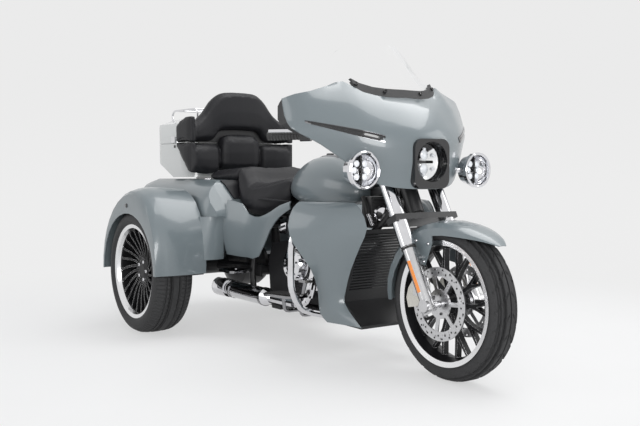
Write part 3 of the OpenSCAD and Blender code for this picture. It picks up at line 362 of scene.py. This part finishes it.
def hit(tree, origin, direction, far=3.0):
    """Where a ray first meets the tree, and the outward normal there; two Nones where it meets nothing."""
    p, n, _, _ = tree.ray_cast(Vector(origin), Vector(direction).normalized(), far)
    if p is not None and n.dot(Vector(direction)) > 0:
        n = -n
    return p, n


def hits(tree, origins, direction, far=3.0):
    """The (point, normal) places that parallel rays reach."""
    found = [hit(tree, o, direction, far) for o in origins]
    return [(p, n) for p, n in found if p is not None]


def ring(centre, radius, count, y, turn=0.0):
    """Points at even angles on a circle round a wheel's axle, out at the height y."""
    angles = [turn + 2 * math.pi * k / count for k in range(count)]
    return [(centre[0] + radius * math.cos(a), y, centre[2] + radius * math.sin(a)) for a in angles]


def sweep(name, pts, r, mat, sides=10, flat=None):
    """A round bar through the points, or an oval one where flat gives the other radius."""
    pts = [Vector(p) for p in pts]
    verts, faces = [], []
    up = None
    last = len(pts) - 1
    for i, p in enumerate(pts):
        d = (pts[min(i + 1, last)] - pts[max(i - 1, 0)]).normalized()
        if up is None:
            up = d.orthogonal().normalized()
        up = (up - d * up.dot(d)).normalized()
        side = d.cross(up)
        rr = r[i] if isinstance(r, list) else r
        for k in range(sides):
            a = 2 * math.pi * k / sides
            verts.append(p + up * math.cos(a) * rr + side * math.sin(a) * (flat or rr))
    for i in range(last):
        for k in range(sides):
            a, b = i * sides + k, i * sides + (k + 1) % sides
            faces.append((a, b, b + sides, a + sides))
    faces.append(tuple(range(sides - 1, -1, -1)))
    faces.append(tuple(last * sides + k for k in range(sides)))
    return mesh_object(name, verts, faces, mat, 40)


def smooth_path(pts, per=6):
    """Catmull-Rom through the points."""
    pts = [Vector(p) for p in pts]
    out = []
    for i in range(len(pts) - 1):
        p0, p1, p2, p3 = pts[max(i - 1, 0)], pts[i], pts[i + 1], pts[min(i + 2, len(pts) - 1)]
        for k in range(per):
            t = k / per
            out.append(0.5 * ((2 * p1) + (p2 - p0) * t + (2 * p0 - 5 * p1 + 4 * p2 - p3) * t * t
                              + (3 * p1 - p0 - 3 * p2 + p3) * t ** 3))
    out.append(pts[-1])
    return out


def revolve(name, prof, centre, axis, mat, steps=48, angle=40):
    """A turned piece: the profile is (along, radius) pairs, measured along the axis from the centre."""
    axis = Vector(axis).normalized()
    u = axis.orthogonal().normalized()
    w = axis.cross(u)
    verts, faces = [], []
    for i in range(steps):
        a = 2 * math.pi * i / steps
        d = u * math.cos(a) + w * math.sin(a)
        verts += [Vector(centre) + axis * h + d * r for h, r in prof]
    n = len(prof)
    for i in range(steps):
        j = (i + 1) % steps
        faces += [(i * n + k, j * n + k, j * n + k + 1, i * n + k + 1) for k in range(n - 1)]
    o = mesh_object(name, verts, faces, mat)
    with edit(o) as bm:
        bmesh.ops.remove_doubles(bm, verts=bm.verts, dist=1e-6)
        bmesh.ops.recalc_face_normals(bm, faces=bm.faces)
    smooth(o, angle)
    return o


def box_mesh(name, lo, hi, mat, bevel):
    (x0, y0, z0), (x1, y1, z1) = lo, hi
    verts = [(x, y, z) for z in (z0, z1) for x, y in ((x0, y0), (x1, y0), (x1, y1), (x0, y1))]
    faces = [(0, 3, 2, 1), (4, 5, 6, 7), (0, 1, 5, 4), (1, 2, 6, 5), (2, 3, 7, 6), (3, 0, 4, 7)]
    o = mesh_object(name, verts, faces, mat)
    with edit(o) as bm:
        bmesh.ops.bevel(bm, geom=list(bm.edges), offset=bevel, segments=2, profile=0.6, affect="EDGES")
    smooth(o, 40)
    return o


def shell(name, layers, mat, angle):
    """A closed sheet on the chassis, from its front and back layers of points in equal grids."""
    rows, cols = len(layers[0]), len(layers[0][0])
    base = rows * cols
    faces = []
    for i in range(rows - 1):
        for a in range(i * cols, i * cols + cols - 1):
            faces += [(a, a + 1, a + cols + 1, a + cols),
                      (base + a, base + a + cols, base + a + cols + 1, base + a + 1)]
    for i in range(rows - 1):
        for a in (i * cols, i * cols + cols - 1):
            faces.append((a, a + cols, base + a + cols, base + a))
    for k in range(cols - 1):
        for a in (k, (rows - 1) * cols + k):
            faces.append((a, base + a, base + a + 1, a + 1))
    o = mesh_object(name, [p for layer in layers for row in layer for p in row], faces, mat)
    with edit(o) as bm:
        bmesh.ops.recalc_face_normals(bm, faces=bm.faces)
    smooth(o, angle)
    ride(o, "chassis")


def strip_on(name, tree, rows, mat, rise):
    """A thin raised band; each row gives the origins of the rays from the front for its two edges."""
    verts, faces = [], []
    for row in rows:
        pts = hits(tree, row, BACKWARD)
        if len(pts) == 2:
            verts += [p + n * rise for p, n in pts] + [p - n * 0.0005 for p, n in pts]
    k = len(verts) // 4
    for i in range(k - 1):
        a, b = 4 * i, 4 * (i + 1)
        faces += [(a, b, b + 1, a + 1), (a + 2, b + 2, b, a), (a + 1, b + 1, b + 3, a + 3)]
    faces += [(0, 1, 3, 2), (4 * k - 4, 4 * k - 2, 4 * k - 1, 4 * k - 3)]
    return mesh_object(name, verts, faces, mat, 30)


def join(objs, name):
    bpy.ops.object.select_all(action="DESELECT")
    for o in objs:
        o.select_set(True)
    bpy.context.view_layer.objects.active = objs[0]
    if len(objs) > 1:
        bpy.ops.object.join()
    objs[0].name = name
    objs[0].data.name = name
    return objs[0]


def group(parts, name, body):
    """Joins the parts into one piece that rides on the body."""
    ride(join(parts, name), body)


def bolts(name, places, r, h, mat, body, sides=12):
    """Domed bolt heads with a socket, at (point, axis) places."""
    prof = [(0, r), (h * 0.7, r), (h, r * 0.8), (h, r * 0.45), (h * 0.55, r * 0.42), (h * 0.55, 0.0001)]
    group([revolve("p", prof, p, ax, mat, sides, 30) for p, ax in places], name, body)


# ---------------------------------------------------------------- smooth skins over the CAD's shells


def skin(node, body):
    """The node's own form with its facets' corners joined, so that the light runs smoothly over it."""
    o = bpy.data.objects.new(f"{node}_skin", NODES[node].data.copy())
    bpy.context.scene.collection.objects.link(o)
    if "custom_normal" in o.data.attributes:
        o.data.attributes.remove(o.data.attributes["custom_normal"])
    with edit(o) as bm:
        bmesh.ops.remove_doubles(bm, verts=bm.verts, dist=2e-5)
        bmesh.ops.dissolve_degenerate(bm, dist=1e-5, edges=bm.edges)
        bmesh.ops.recalc_face_normals(bm, faces=bm.faces)
    smooth(o, 36)
    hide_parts(node)
    ride(o, body)


for node, body, slot in (("outer_fairing", "steering", "paint"), ("front_fender", "steering", "paint"),
                         ("fuel_tank", "chassis", "paint"), ("rear_body", "chassis", "paint"),
                         ("rear_fenders", "chassis", "paint"), ("leg_shields", "chassis", "paint"),
                         ("top_case_base", "chassis", "paint"), ("top_case_lid", "top_case_lid", "paint"),
                         ("trunk_door", "trunk_door", "paint"), ("inner_fairing", "steering", "plastic"),
                         ("windscreen", "steering", "screen"), ("tank_console", "chassis", "chrome")):
    skin(node, body)

# ---------------------------------------------------------------- tyres with their tread

STEPS = 360  # round a tyre
GROOVE, SIPE = 0.006, 0.004  # how deep the grooves round the tyre and the cuts across it go
REAR_GROOVES = [(g, 0.0042) for g in (-0.052, -0.019, 0.019, 0.052)]  # place across, and half the width
FRONT_GROOVES = [(0.0, 0.003)]


def tyre_profile(node, hub):
    """The tyre's outer section as (across, radius) pairs from bead to bead, finer over the tread."""
    section = dict.fromkeys((round(v.co.y - hub[1], 4), round(math.hypot(v.co.x - hub[0], v.co.z - hub[2]), 4))
                            for v in NODES[node].data.vertices)
    top = max(r for h, r in section)
    seat = min(r for h, r in section)
    half = max(abs(h) for h, r in section)
    mid = (top + seat) / 2 - 0.02
    pts = sorted((math.atan2(h, r - mid), h, r) for h, r in section if r > seat + 0.004)
    pts = [(a, h, r) for a, h, r in pts if abs(a) < 2.9]
    keep = []
    for i in range(-58, 59):
        a = math.radians(i * 2.6)
        near = [math.hypot(h, r - mid) for b, h, r in pts if abs(b - a) < math.radians(4.5)]
        if near:
            keep.append((math.sin(a) * max(near), mid + math.cos(a) * max(near)))
    for _ in range(2):
        inner = [tuple((a + 2 * b + c) / 4 for a, b, c in zip(*keep[i - 1:i + 2]))
                 for i in range(1, len(keep) - 1)]
        keep = [keep[0]] + inner + [keep[-1]]
    fine = []
    for (h0, r0), (h1, r1) in zip(keep, keep[1:]):
        n = 6 if max(r0, r1) > top - 0.03 else 2
        fine += [(h0 + (h1 - h0) * k / n, r0 + (r1 - r0) * k / n) for k in range(n)]
    return fine + [keep[-1]], top, half


def tyre(name, node, hub, grooves, sipe, body):
    """A tyre skin from the CAD tyre's own section, with the tread pressed in."""
    fine, top, half = tyre_profile(node, hub)
    verts, faces = [], []
    for i in range(STEPS):
        a = 2 * math.pi * i / STEPS
        for h, r in fine:
            depth = 0.0
            if r > top - 0.032:
                depth = max([sipe(i, h, half)] + [GROOVE for g, w in grooves if abs(h - g) < w])
            rr = min(r, top - 0.0005) - depth
            verts.append((hub[0] + math.cos(a) * rr, hub[1] + h, hub[2] + math.sin(a) * rr))
    n = len(fine)
    for i in range(STEPS):
        j = (i + 1) % STEPS
        faces += [(i * n + k, i * n + k + 1, j * n + k + 1, j * n + k) for k in range(n - 1)]
    o = mesh_object(name, verts, faces, rubber, 38)
    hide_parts(node)
    ride(o, body)


def rear_sipe(i, h, half):
    """Straight cuts across the shoulders."""
    return SIPE if i % 4 == 0 and half * 0.30 < abs(h) < half * 0.9 else 0.0


def front_sipe(i, h, half):
    """Slanted cuts that run back from the middle."""
    return SIPE if (i + int(abs(h) * 260)) % 15 in (0, 1) and abs(h) > half * 0.12 else 0.0


tyre("right_tyre_tread", "right_tyre", RIGHT_HUB, REAR_GROOVES, rear_sipe, "right_wheel")
tyre("left_tyre_tread", "left_tyre", LEFT_HUB, REAR_GROOVES, rear_sipe, "left_wheel")
tyre("front_tyre_tread", "front_tyre", FRONT_HUB, FRONT_GROOVES, front_sipe, "front_wheel")

# ---------------------------------------------------------------- lamps


def headlight():
    c = V(1478, 0, 892)
    bowl = [(-0.006, 0.0002), (-0.004, 0.020), (0.004, 0.050), (0.018, 0.076), (0.020, 0.0765)]
    # the bowl's plating carries a painted dark reflection over its upper inner side
    ride(revolve("headlight_bowl", bowl, c, FORWARD, bowl_painted_reflection(c), 64), "steering")
    large = [(-0.004, 0.0001), (0.0, 0.020), (0.006, 0.0215), (0.010, 0.018), (0.015, 0.0001)]
    small = [(0.0, 0.0001), (0.002, 0.008), (0.008, 0.006), (0.010, 0.0001)]
    parts = [revolve("p", large, c + Vector((0.010, 0, z)), FORWARD, led, 32) for z in (0.030, -0.030)]
    for k in range(6):
        a = math.radians(30 + 60 * k)
        parts.append(revolve("p", small, c + Vector((0.012, 0.058 * math.cos(a), 0.054 * math.sin(a))), FORWARD,
                             led, 16))
    group(parts, "headlight_leds", "steering")
    ride(box_mesh("headlight_divider", c + Vector((-0.010, -0.068, -0.006)), c + Vector((0.008, 0.068, 0.006)),
                  gloss_black, 0.002), "steering")
    edge = [(0.0, 0.0835), (0.005, 0.0835), (0.005, 0.079), (0.0, 0.079), (0.0, 0.0835)]
    ride(revolve("headlight_ring", edge, V(1504, 0, 892), FORWARD, gloss_black, 64), "steering")


def aux_lamp(side, tag):
    """Bowl, six lights and a divider for one auxiliary lamp."""
    c = V(1440, 318 * side, 857)
    bowl = [(0.0085, 0.0002), (0.009, 0.030), (0.020, 0.052), (0.044, 0.0655), (0.046, 0.0655)]
    ride(revolve(f"aux_bowl_{tag}", bowl, c, FORWARD, chrome, 48), "steering")
    light = [(0.0, 0.0001), (0.002, 0.012), (0.012, 0.0135), (0.016, 0.010), (0.018, 0.0001)]
    parts = []
    for y in (-1, 1):
        for z in (-1, 0, 1):
            p = c + Vector((0.016 if z else 0.014, y * (0.020 if z else 0.030), z * 0.027))
            parts.append(revolve("p", light, p, FORWARD, led, 20))
    group(parts, f"aux_leds_{tag}", "steering")
    ride(box_mesh(f"aux_divider_{tag}", c + Vector((0.010, -0.004, -0.056)), c + Vector((0.034, 0.004, 0.056)),
                  gloss_black, 0.0015), "steering")


headlight()
aux_lamp(1, "left")
aux_lamp(-1, "right")

# ---------------------------------------------------------------- fairing trim, handlebar and dash


def accents():
    """Three dark blades in a shallow band along each side of the fairing."""
    tree = tree_of("outer_fairing")
    inner, outer, steps = 205, 452, 30
    ys = [inner + (outer - inner) * i / steps for i in range(steps + 1)]

    def level(y, k):
        """The height of the edge k millimetres off the band's middle, which tapers outwards."""
        return 983 + (y - 200) * 73 / 250 + k * (0.35 + 0.65 * min(1, (455 - y) / 160))

    def rows(side, low, high, trim=0):
        return [[V(2200, y * side, level(y, k)) for k in (low, high)] for y in ys[trim:len(ys) - trim]]

    for side, tag in SIDES:
        parts = []
        for n, (low, high) in enumerate(((4, 12), (-4.5, 3), (-13, -5.5))):
            edges = (high, low) if side > 0 else (low, high)
            parts.append(strip_on("p", tree, rows(side, *edges, n), gloss_black, 0.0037))
        group(parts, f"fairing_blades_{tag}", "steering")
        edges = (14, -15) if side < 0 else (-15, 14)
        band = strip_on(f"fairing_band_{tag}", tree, rows(side, *edges), dark_chrome, 0.0008)
        ride(band, "steering")


def grips():
    n = 40
    for side, tag in SIDES:
        a, b = V(1072, 355 * side, 1007.8), V(961, 440.5 * side, 1003.9)
        rad = [0.0194 if i % 4 in (0, 1) else 0.0182 for i in range(n + 1)]
        rad[0] = rad[-1] = 0.0205
        ride(sweep(f"grip_{tag}", [a.lerp(b, i / n) for i in range(n + 1)], rad, soft_rubber, 20),
             "steering")


def dials():
    """Blank round gauges on the dash."""
    tree = tree_of("inner_fairing")
    for i, (y, z, r) in enumerate(((-68, 1060, 44), (68, 1060, 44), (-158, 1052, 27), (158, 1052, 27))):
        p, n = hit(tree, V(900, y, z), FORWARD)
        n = n.lerp(Vector((-1, 0, 0.3)).normalized(), 0.5).normalized()
        r /= 1000
        rim = [(-0.012, r), (0.010, r), (0.012, r - 0.003), (0.006, r - 0.006), (0.006, 0.0001)]
        ride(revolve(f"dial_ring_{i}", rim, p, n, chrome, 40), "steering")
        face = revolve("p", [(0.0065, 0.0001), (0.0065, r - 0.0065)], p, n, gloss_black, 40)
        root = p + n * 0.0085
        needle = sweep("p", [root, root + n.orthogonal().normalized() * (r - 0.012)], 0.0009, amber, 6)
        group([face, needle], f"dial_face_{i}", "steering")


def speakers():
    """Round grilles with slats at the dash's ends."""
    tree = tree_of("inner_fairing")
    rim = [(-0.014, 0.060), (0.006, 0.060), (0.008, 0.056), (0.004, 0.052), (0.004, 0.0002)]
    for side, tag in SIDES:
        p, n = hit(tree, V(900, 300 * side, 1070), FORWARD)
        n = n.lerp(Vector((-1, 0, 0.2)).normalized(), 0.4).normalized()
        u = n.orthogonal().normalized()
        w = n.cross(u)
        parts = [revolve("p", rim, p, n, plastic, 40)]
        for k in range(-5, 6):
            d = k * 0.0088
            half = math.sqrt(0.050 ** 2 - d * d)
            middle = p + n * 0.006 + u * d
            parts.append(sweep("p", [middle - w * half, middle + w * half], 0.0022, gloss_black, 8))
        group(parts, f"speaker_{tag}", "steering")


def screen_knobs():
    tree = tree_of("inner_fairing", "outer_fairing")
    origins = [V(1300 if abs(y) > 150 else 1354, y, 1500) for y in (-215, -100, 100, 215)]
    places = [(p - n * 0.001, n) for p, n in hits(tree, origins, DOWN)]
    bolts("screen_knobs", places, 0.009, 0.009, gloss_black, "steering", 16)


accents()
grips()
dials()
speakers()
screen_knobs()

# ---------------------------------------------------------------- fork and wheels


def fork_trim():
    """Amber reflectors and seals on the fork's sliders, and bolts on the front fender."""
    lean = math.radians(28.5)
    along = Vector((-math.sin(lean), 0, math.cos(lean)))
    for side, tag in SIDES:
        out = Vector((0.28, side, 0)).normalized()

        def at(z):
            return V(1670 - (z - 319) * math.tan(lean), 132 * side, z)

        ride(sweep(f"reflector_{tag}", [at(z) + out * 0.0262 for z in range(372, 497, 8)], 0.0095, amber, 12,
                   flat=0.0042), "steering")
        seal = [(-0.004, 0.0258), (-0.004, 0.0312), (0.004, 0.0312), (0.004, 0.0258)]
        for i, (z, mat) in enumerate(((538, soft_rubber), (548, gloss_black))):
            ride(revolve(f"fork_seal_{tag}_{i}", seal, at(z), along, mat, 40), "steering")
    places = [(V(x, 88.2 * side, z), (0, side, 0)) for side, _ in SIDES
              for x, z in ((1548, 568), (1620, 560), (1560, 492), (1596, 486))]
    bolts("fender_bolts", places, 0.006, 0.005, chrome, "steering")


def hub_bolts(name, node, body, hub, radius, r, side, mat):
    """Five bolt heads in a ring on the outermost face of a wheel's hub."""
    origins = ring(hub, radius, 5, hub[1] + side * 0.5)
    places = [(p - Vector((0, side * 0.0005, 0)), (0, side, 0))
              for p, _ in hits(tree_of(node), origins, (0, -side, 0), 0.6)]
    bolts(name, places, r, r * 0.9, mat, body)


def rotor_holes():
    """Dark round holes in two rings round each front brake disc."""
    tree = tree_of("front_rotors")
    count = 20
    prof = [(0.0002, 0.0044), (0.0006, 0.0044), (0.0006, 0.0001)]
    for side, tag in SIDES:
        origins = ring(FRONT_HUB, 0.128, count, side * 0.5)
        origins += ring(FRONT_HUB, 0.141, count, side * 0.5, math.pi / count)
        parts = [revolve("p", prof, p, (0, side, 0), gloss_black, 10)
                 for p, n in hits(tree, origins, (0, -side, 0), 0.5) if abs(n.y) > 0.9 and abs(p.y) > 0.05]
        group(parts, f"rotor_holes_{tag}", "front_wheel")


fork_trim()
hub_bolts("right_wheel_nuts", "right_wheel", "right_wheel", RIGHT_HUB, 0.048, 0.009, -1, chrome)
hub_bolts("left_wheel_nuts", "left_wheel", "left_wheel", LEFT_HUB, 0.048, 0.009, 1, chrome)
for side, tag in SIDES:
    hub_bolts(f"rotor_bolts_{tag}", "front_rotors", "front_wheel", FRONT_HUB, 0.040, 0.006, side, gloss_black)

# ---------------------------------------------------------------- body, engine and exhaust trim

MUFFLER_Y, MUFFLER_Z, MUFFLER_R = 212, 222, 0.0435


def fender_marker():
    tree = tree_of("rear_fenders")
    prof = [(-0.002, 0.011), (0.003, 0.011), (0.005, 0.009), (0.0055, 0.0001)]
    for side, tag in SIDES:
        p, n = hit(tree, V(-18, 900 * side, 668), (0, -side, 0))
        ride(revolve(f"fender_marker_{tag}", prof, p, n, gloss_black, 24), "chassis")


def panel_slats():
    """Slats across the radiator's black centre panel."""
    tree = tree_of("radiator_panel")
    parts = []
    for z in range(330, 590, 13):
        pts = [p + n * 0.001 for p, n in hits(tree, [V(1650, y, z) for y in range(-176, 177, 22)], BACKWARD)]
        if len(pts) > 2:
            parts.append(sweep("p", pts, 0.0024, gloss_black, 6))
    group(parts, "panel_slats", "chassis")


def board_ribs():
    """Rubber ribs across the rider's foot boards."""
    tree = tree_of("foot_boards")
    parts = []
    for side, _ in SIDES:
        for x in range(760, 985, 18):
            found = hits(tree, [V(x, y * side, 500) for y in range(246, 341, 10)], DOWN)
            pts = [p + Vector((0, 0, 0.001)) for p, _ in found if p.z > 0.2]
            if len(pts) > 3:
                parts.append(sweep("p", pts, 0.0035, soft_rubber, 6))
    group(parts, "board_ribs", "chassis")


def tank_top():
    """Fuel cap and ignition switch."""
    tree = tree_of("tank_console", "fuel_tank")
    cap = [(-0.003, 0.0300), (0.001, 0.0325), (0.005, 0.0310), (0.008, 0.026), (0.009, 0.0001)]
    switch = [(-0.003, 0.019), (0.006, 0.019), (0.009, 0.015), (0.0095, 0.0001)]
    p, _ = hit(tree, V(925, 0, 1500), DOWN)
    ride(revolve("fuel_cap", cap, p, (0, 0, 1), chrome, 48), "chassis")
    p, _ = hit(tree, V(820, 0, 1500), DOWN)
    ride(revolve("ignition_switch", switch, p, (0, 0, 1), gloss_black, 32), "chassis")


def engine_bolts():
    """Bolts round the engine's right cover, and in a ring on its round cap."""
    tree = tree_of("engine_covers")
    rim = [V(x, -600, z) for x, z in ((700, 300), (700, 400), (905, 262), (915, 372), (830, 245), (760, 428),
                                      (838, 400))]
    cap = ring(V(752, 0, 398), 0.052, 5, -0.6, 0.3)
    found = [(p, n) for p, n in hits(tree, rim, (0, 1, 0)) if p.y < -0.13] + hits(tree, cap, (0, 1, 0))
    places = [(p + Vector((0, 0.0005, 0)), (0, -1, 0)) for p, _ in found]
    bolts("cover_bolts", places, 0.0055, 0.005, dark_chrome, "chassis")


def exhaust_trim():
    """Clamps round each muffler."""
    prof = [(-0.008, MUFFLER_R + 0.0012), (-0.008, 0.0468), (0.008, 0.0468), (0.008, MUFFLER_R + 0.0012)]
    parts = [revolve("p", prof, V(x, MUFFLER_Y * side, MUFFLER_Z), FORWARD, dark_chrome, 48)
             for side, _ in SIDES for x in (560, 250)]
    group(parts, "muffler_clamps", "chassis")


def case_trim():
    """A knob on the top case, and a lock on the trunk door."""
    knob = [(-0.016, 0.0085), (0.004, 0.0085), (0.006, 0.006), (0.0065, 0.0001)]
    ride(revolve("case_knob", knob, V(-278, -300, 985), (0, -1, 0), gloss_black, 24), "chassis")
    lock = [(-0.002, 0.018), (0.004, 0.018), (0.006, 0.015), (0.003, 0.012), (0.003, 0.0001)]
    p, n = hit(tree_of("trunk_door"), V(-900, 0, 470), FORWARD)
    ride(revolve("trunk_lock", lock, p, n, chrome, 32), "trunk_door")


fender_marker()
panel_slats()
board_ribs()
tank_top()
engine_bolts()
exhaust_trim()
case_trim()

# ---------------------------------------------------------------- cushions

PRESSURE, FRAMES = 4.0, 20
VOXEL, QUICK_VOXEL = 0.006, 0.008


def prism(outline, y0, y1):
    """A closed block: the X-Z outline in millimetres, drawn across from y0 to y1."""
    n = len(outline)
    verts = [V(x, y, z) for y in (y0, y1) for x, z in outline]
    faces = [tuple(range(n)), tuple(range(2 * n - 1, n - 1, -1))]
    faces += [(i, i + n, (i + 1) % n + n, (i + 1) % n) for i in range(n)]
    return mesh_object("block", verts, faces)


def puff(o, cap):
    """Blows the cover up as cloth, moves no vertex by more than the cap, and keeps the last frame's shape."""
    rest = [v.co.copy() for v in o.data.vertices]
    cloth = o.modifiers.new("cloth", "CLOTH")
    cloth.settings.use_pressure = True
    cloth.settings.uniform_pressure_force = PRESSURE
    cloth.settings.effector_weights.gravity = 0.0
    cloth.settings.tension_stiffness = 15
    cloth.settings.compression_stiffness = 15
    cloth.settings.bending_stiffness = 2.0
    cloth.point_cache.frame_start = 1
    cloth.point_cache.frame_end = FRAMES
    for f in range(1, FRAMES + 1):
        bpy.context.scene.frame_set(f)
    graph = bpy.context.evaluated_depsgraph_get()
    moved = [v.co.copy() for v in o.evaluated_get(graph).data.vertices]
    o.modifiers.remove(cloth)
    bpy.context.scene.frame_set(1)
    for v, a, b in zip(o.data.vertices, rest, moved):
        d = b - a
        v.co = a + (d.normalized() * cap if d.length > cap else d)


def modify(o, kind, **settings):
    """Applies one modifier."""
    mod = o.modifiers.new(kind, kind)
    for key, value in settings.items():
        setattr(mod, key, value)
    bpy.ops.object.modifier_apply(modifier=mod.name)


def cushion(name, node, grow, cap, body, form=None, blocks=()):
    """A padded piece from a CAD solid and any extra blocks, reshaped by form, then blown up."""
    o = bpy.data.objects.new(name, NODES[node].data.copy())
    bpy.context.scene.collection.objects.link(o)
    if form:
        for v in o.data.vertices:
            v.co = form(v.co)
    o = join([o] + [prism(*b) for b in blocks], name)
    modify(o, "REMESH", mode="VOXEL", voxel_size=VOXEL)
    modify(o, "SMOOTH", factor=0.5, iterations=6)
    with edit(o) as bm:
        bm.normal_update()
        for v in bm.verts:
            v.co += v.normal * grow
    puff(o, cap)
    smooth(o, 180)
    assign(o, leather)
    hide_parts(node)
    ride(o, body)


def fade(v, a, b):
    """1 below a, 0 above b, smooth between."""
    t = min(1.0, max(0.0, (v - a) / (b - a)))
    return 1 - t * t * (3 - 2 * t)


def taller_middle(p):
    """The middle lumbar pad reaches up in front of the lid."""
    foot = 0.850
    if abs(p.y) < 0.131 and p.z > foot:
        return Vector((p.x, p.y, foot + (p.z - foot) * 1.22))
    return p


def arched_low_edge(p):
    """The top pad's low edge rises over the middle lumbar pad."""
    lift = 0.048 * fade(abs(p.y), 0.120, 0.175) * (1 - min(1.0, max(0.0, (p.z - 1.007) / 0.22)))
    return Vector((p.x, p.y, p.z + lift))


def wings(outline):
    """The pads' ends, which wrap round the case on both sides."""
    return [(outline, 304, 336), (outline, -336, -304)]


LOW_WING = [(-14, 838), (-46, 846), (-120, 905), (-196, 985), (-196, 1003), (-14, 1003)]
TOP_WING = [(-14, 1010), (-196, 1010), (-196, 1100), (-150, 1128), (-70, 1150), (-14, 1150)]
cushion("rider_cushion", "rider_seat", 0.0, 0.007, "chassis")
cushion("passenger_cushion", "passenger_seat", 0.002, 0.006, "chassis")
cushion("back_cushions", "backrest_pads", 0.0, 0.006, "chassis", taller_middle, wings(LOW_WING))
cushion("lid_cushions", "lid_pads", 0.0, 0.006, "top_case_lid", arched_low_edge, wings(TOP_WING))

# ---------------------------------------------------------------- pieces that close gaps in the view


def pad_backing():
    """The dark boards that carry the pads, between them and the case."""
    back, front = -117.2, -92
    for tag, body, low, high in (("case", "chassis", 850, 1003), ("lid", "top_case_lid", 1008, 1110)):
        o = prism([(back, low), (front, low), (front, high), (back, high)], -300, 300)
        o.name = f"pad_board_{tag}"
        assign(o, plastic)
        ride(o, body)


FENDER_EDGE = ((400, 339), (450, 335), (495, 327), (540, 314), (586, 298), (618, 286))  # height, and x there


def fender_edge(z):
    """The x of the rear fender's front edge at a height."""
    k = max(j for j in range(len(FENDER_EDGE) - 1) if FENDER_EDGE[j][0] <= max(z, FENDER_EDGE[0][0]))
    (z0, x0), (z1, x1) = FENDER_EDGE[k], FENDER_EDGE[k + 1]
    return x0 + (x1 - x0) * max(0.0, (z - z0) / (z1 - z0))


def body_aprons():
    """Painted aprons that close the body's front between each fender's edge and the side cover."""
    low, high, rows, cols = 398, 616, 14, 8
    outer, inner, inner_x, bow, thick = 438, 320, 327, 12, 4

    def at(side, i, j, depth):
        z, t = low + (high - low) * i / rows, j / cols
        x = fender_edge(z)
        return V(x + (inner_x - x) * t + bow * math.sin(math.pi * t) - depth,
                 side * (outer + (inner - outer) * t), z)

    for side, tag in SIDES:
        layers = [[[at(side, i, j, depth) for j in range(cols + 1)] for i in range(rows + 1)]
                  for depth in (0, thick)]
        shell(f"body_apron_{tag}", layers, paint, 40)


def neck_hardware():
    """Wiring box, hoses and horn on the frame's neck, behind the fork."""
    parts = [box_mesh("p", V(1216, -118, 604), V(1284, 118, 742), plastic, 0.010)]
    parts += [box_mesh("p", V(1280, -108, z), V(1292, 108, z + 5), plastic, 0.001) for z in range(616, 736, 14)]
    group(parts, "neck_box", "chassis")
    path = ((1240, 128, 740), (1268, 134, 690), (1262, 126, 640), (1240, 122, 600), (1216, 130, 560))
    parts = [sweep("p", smooth_path([V(x, y * side, z) for x, y, z in path]), 0.009, soft_rubber, 12)
             for side, _ in SIDES]
    group(parts, "neck_hoses", "chassis")
    horn = [(0.0, 0.0001), (0.0, 0.036), (0.012, 0.038), (0.020, 0.030), (0.022, 0.0001)]
    parts = [revolve("p", horn, V(1288, -66, 664), (1, -0.3, 0), chrome, 40)]
    parts += [sweep("p", [V(1300, y * 0.86, 618), V(1290, y, 668)], 0.0075, chrome, 16) for y in (-140, 140)]
    group(parts, "neck_horn", "chassis")


def exhaust_tips():
    """Bright tips on the ends of the two mufflers."""
    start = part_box("exhausts")[0][0] + 0.03
    prof = [(0.0, 0.0475), (0.05, 0.049), (0.118, 0.049), (0.122, 0.046), (0.118, 0.043), (0.02, 0.042)]
    parts = [revolve("p", prof, (start, MUFFLER_Y * side / 1000, MUFFLER_Z / 1000), BACKWARD, chrome, 40)
             for side, _ in SIDES]
    group(parts, "muffler_tips", "chassis")


def seat_skirt():
    """The seat's dark skirt over the body's sloping front, down to the step."""
    tree = tree_of("rear_body")
    low, high, half_low, spread, rows, cols = 703, 796, 246, 0.46, 9, 30
    grid = []
    for i in range(rows + 1):
        z = low + (high - low) * i / rows
        half = half_low + (z - low) * spread
        grid.append([hit(tree, V(900, -half + 2 * half * k / cols, z), BACKWARD)[0] for k in range(cols + 1)])
    layers = [[[p + Vector((lift, 0, lift * 0.5)) for p in row] for row in grid] for lift in (0.009, 0.001)]
    shell("seat_skirt", layers, leather, 50)


def body_studs():
    """Three bright studs on each side, where the fender runs into the body's top."""
    origins = [V(x, 240 * side, 1200) for side, _ in SIDES for x in (-18, 6, 30)]
    places = [(p, (0, 0, 1)) for p, _ in hits(tree_of("rear_body", "rear_fenders"), origins, DOWN)]
    bolts("body_studs", places, 0.0075, 0.006, chrome, "chassis")


pad_backing()
body_aprons()
neck_hardware()
rotor_holes()
exhaust_tips()
seat_skirt()
body_studs()
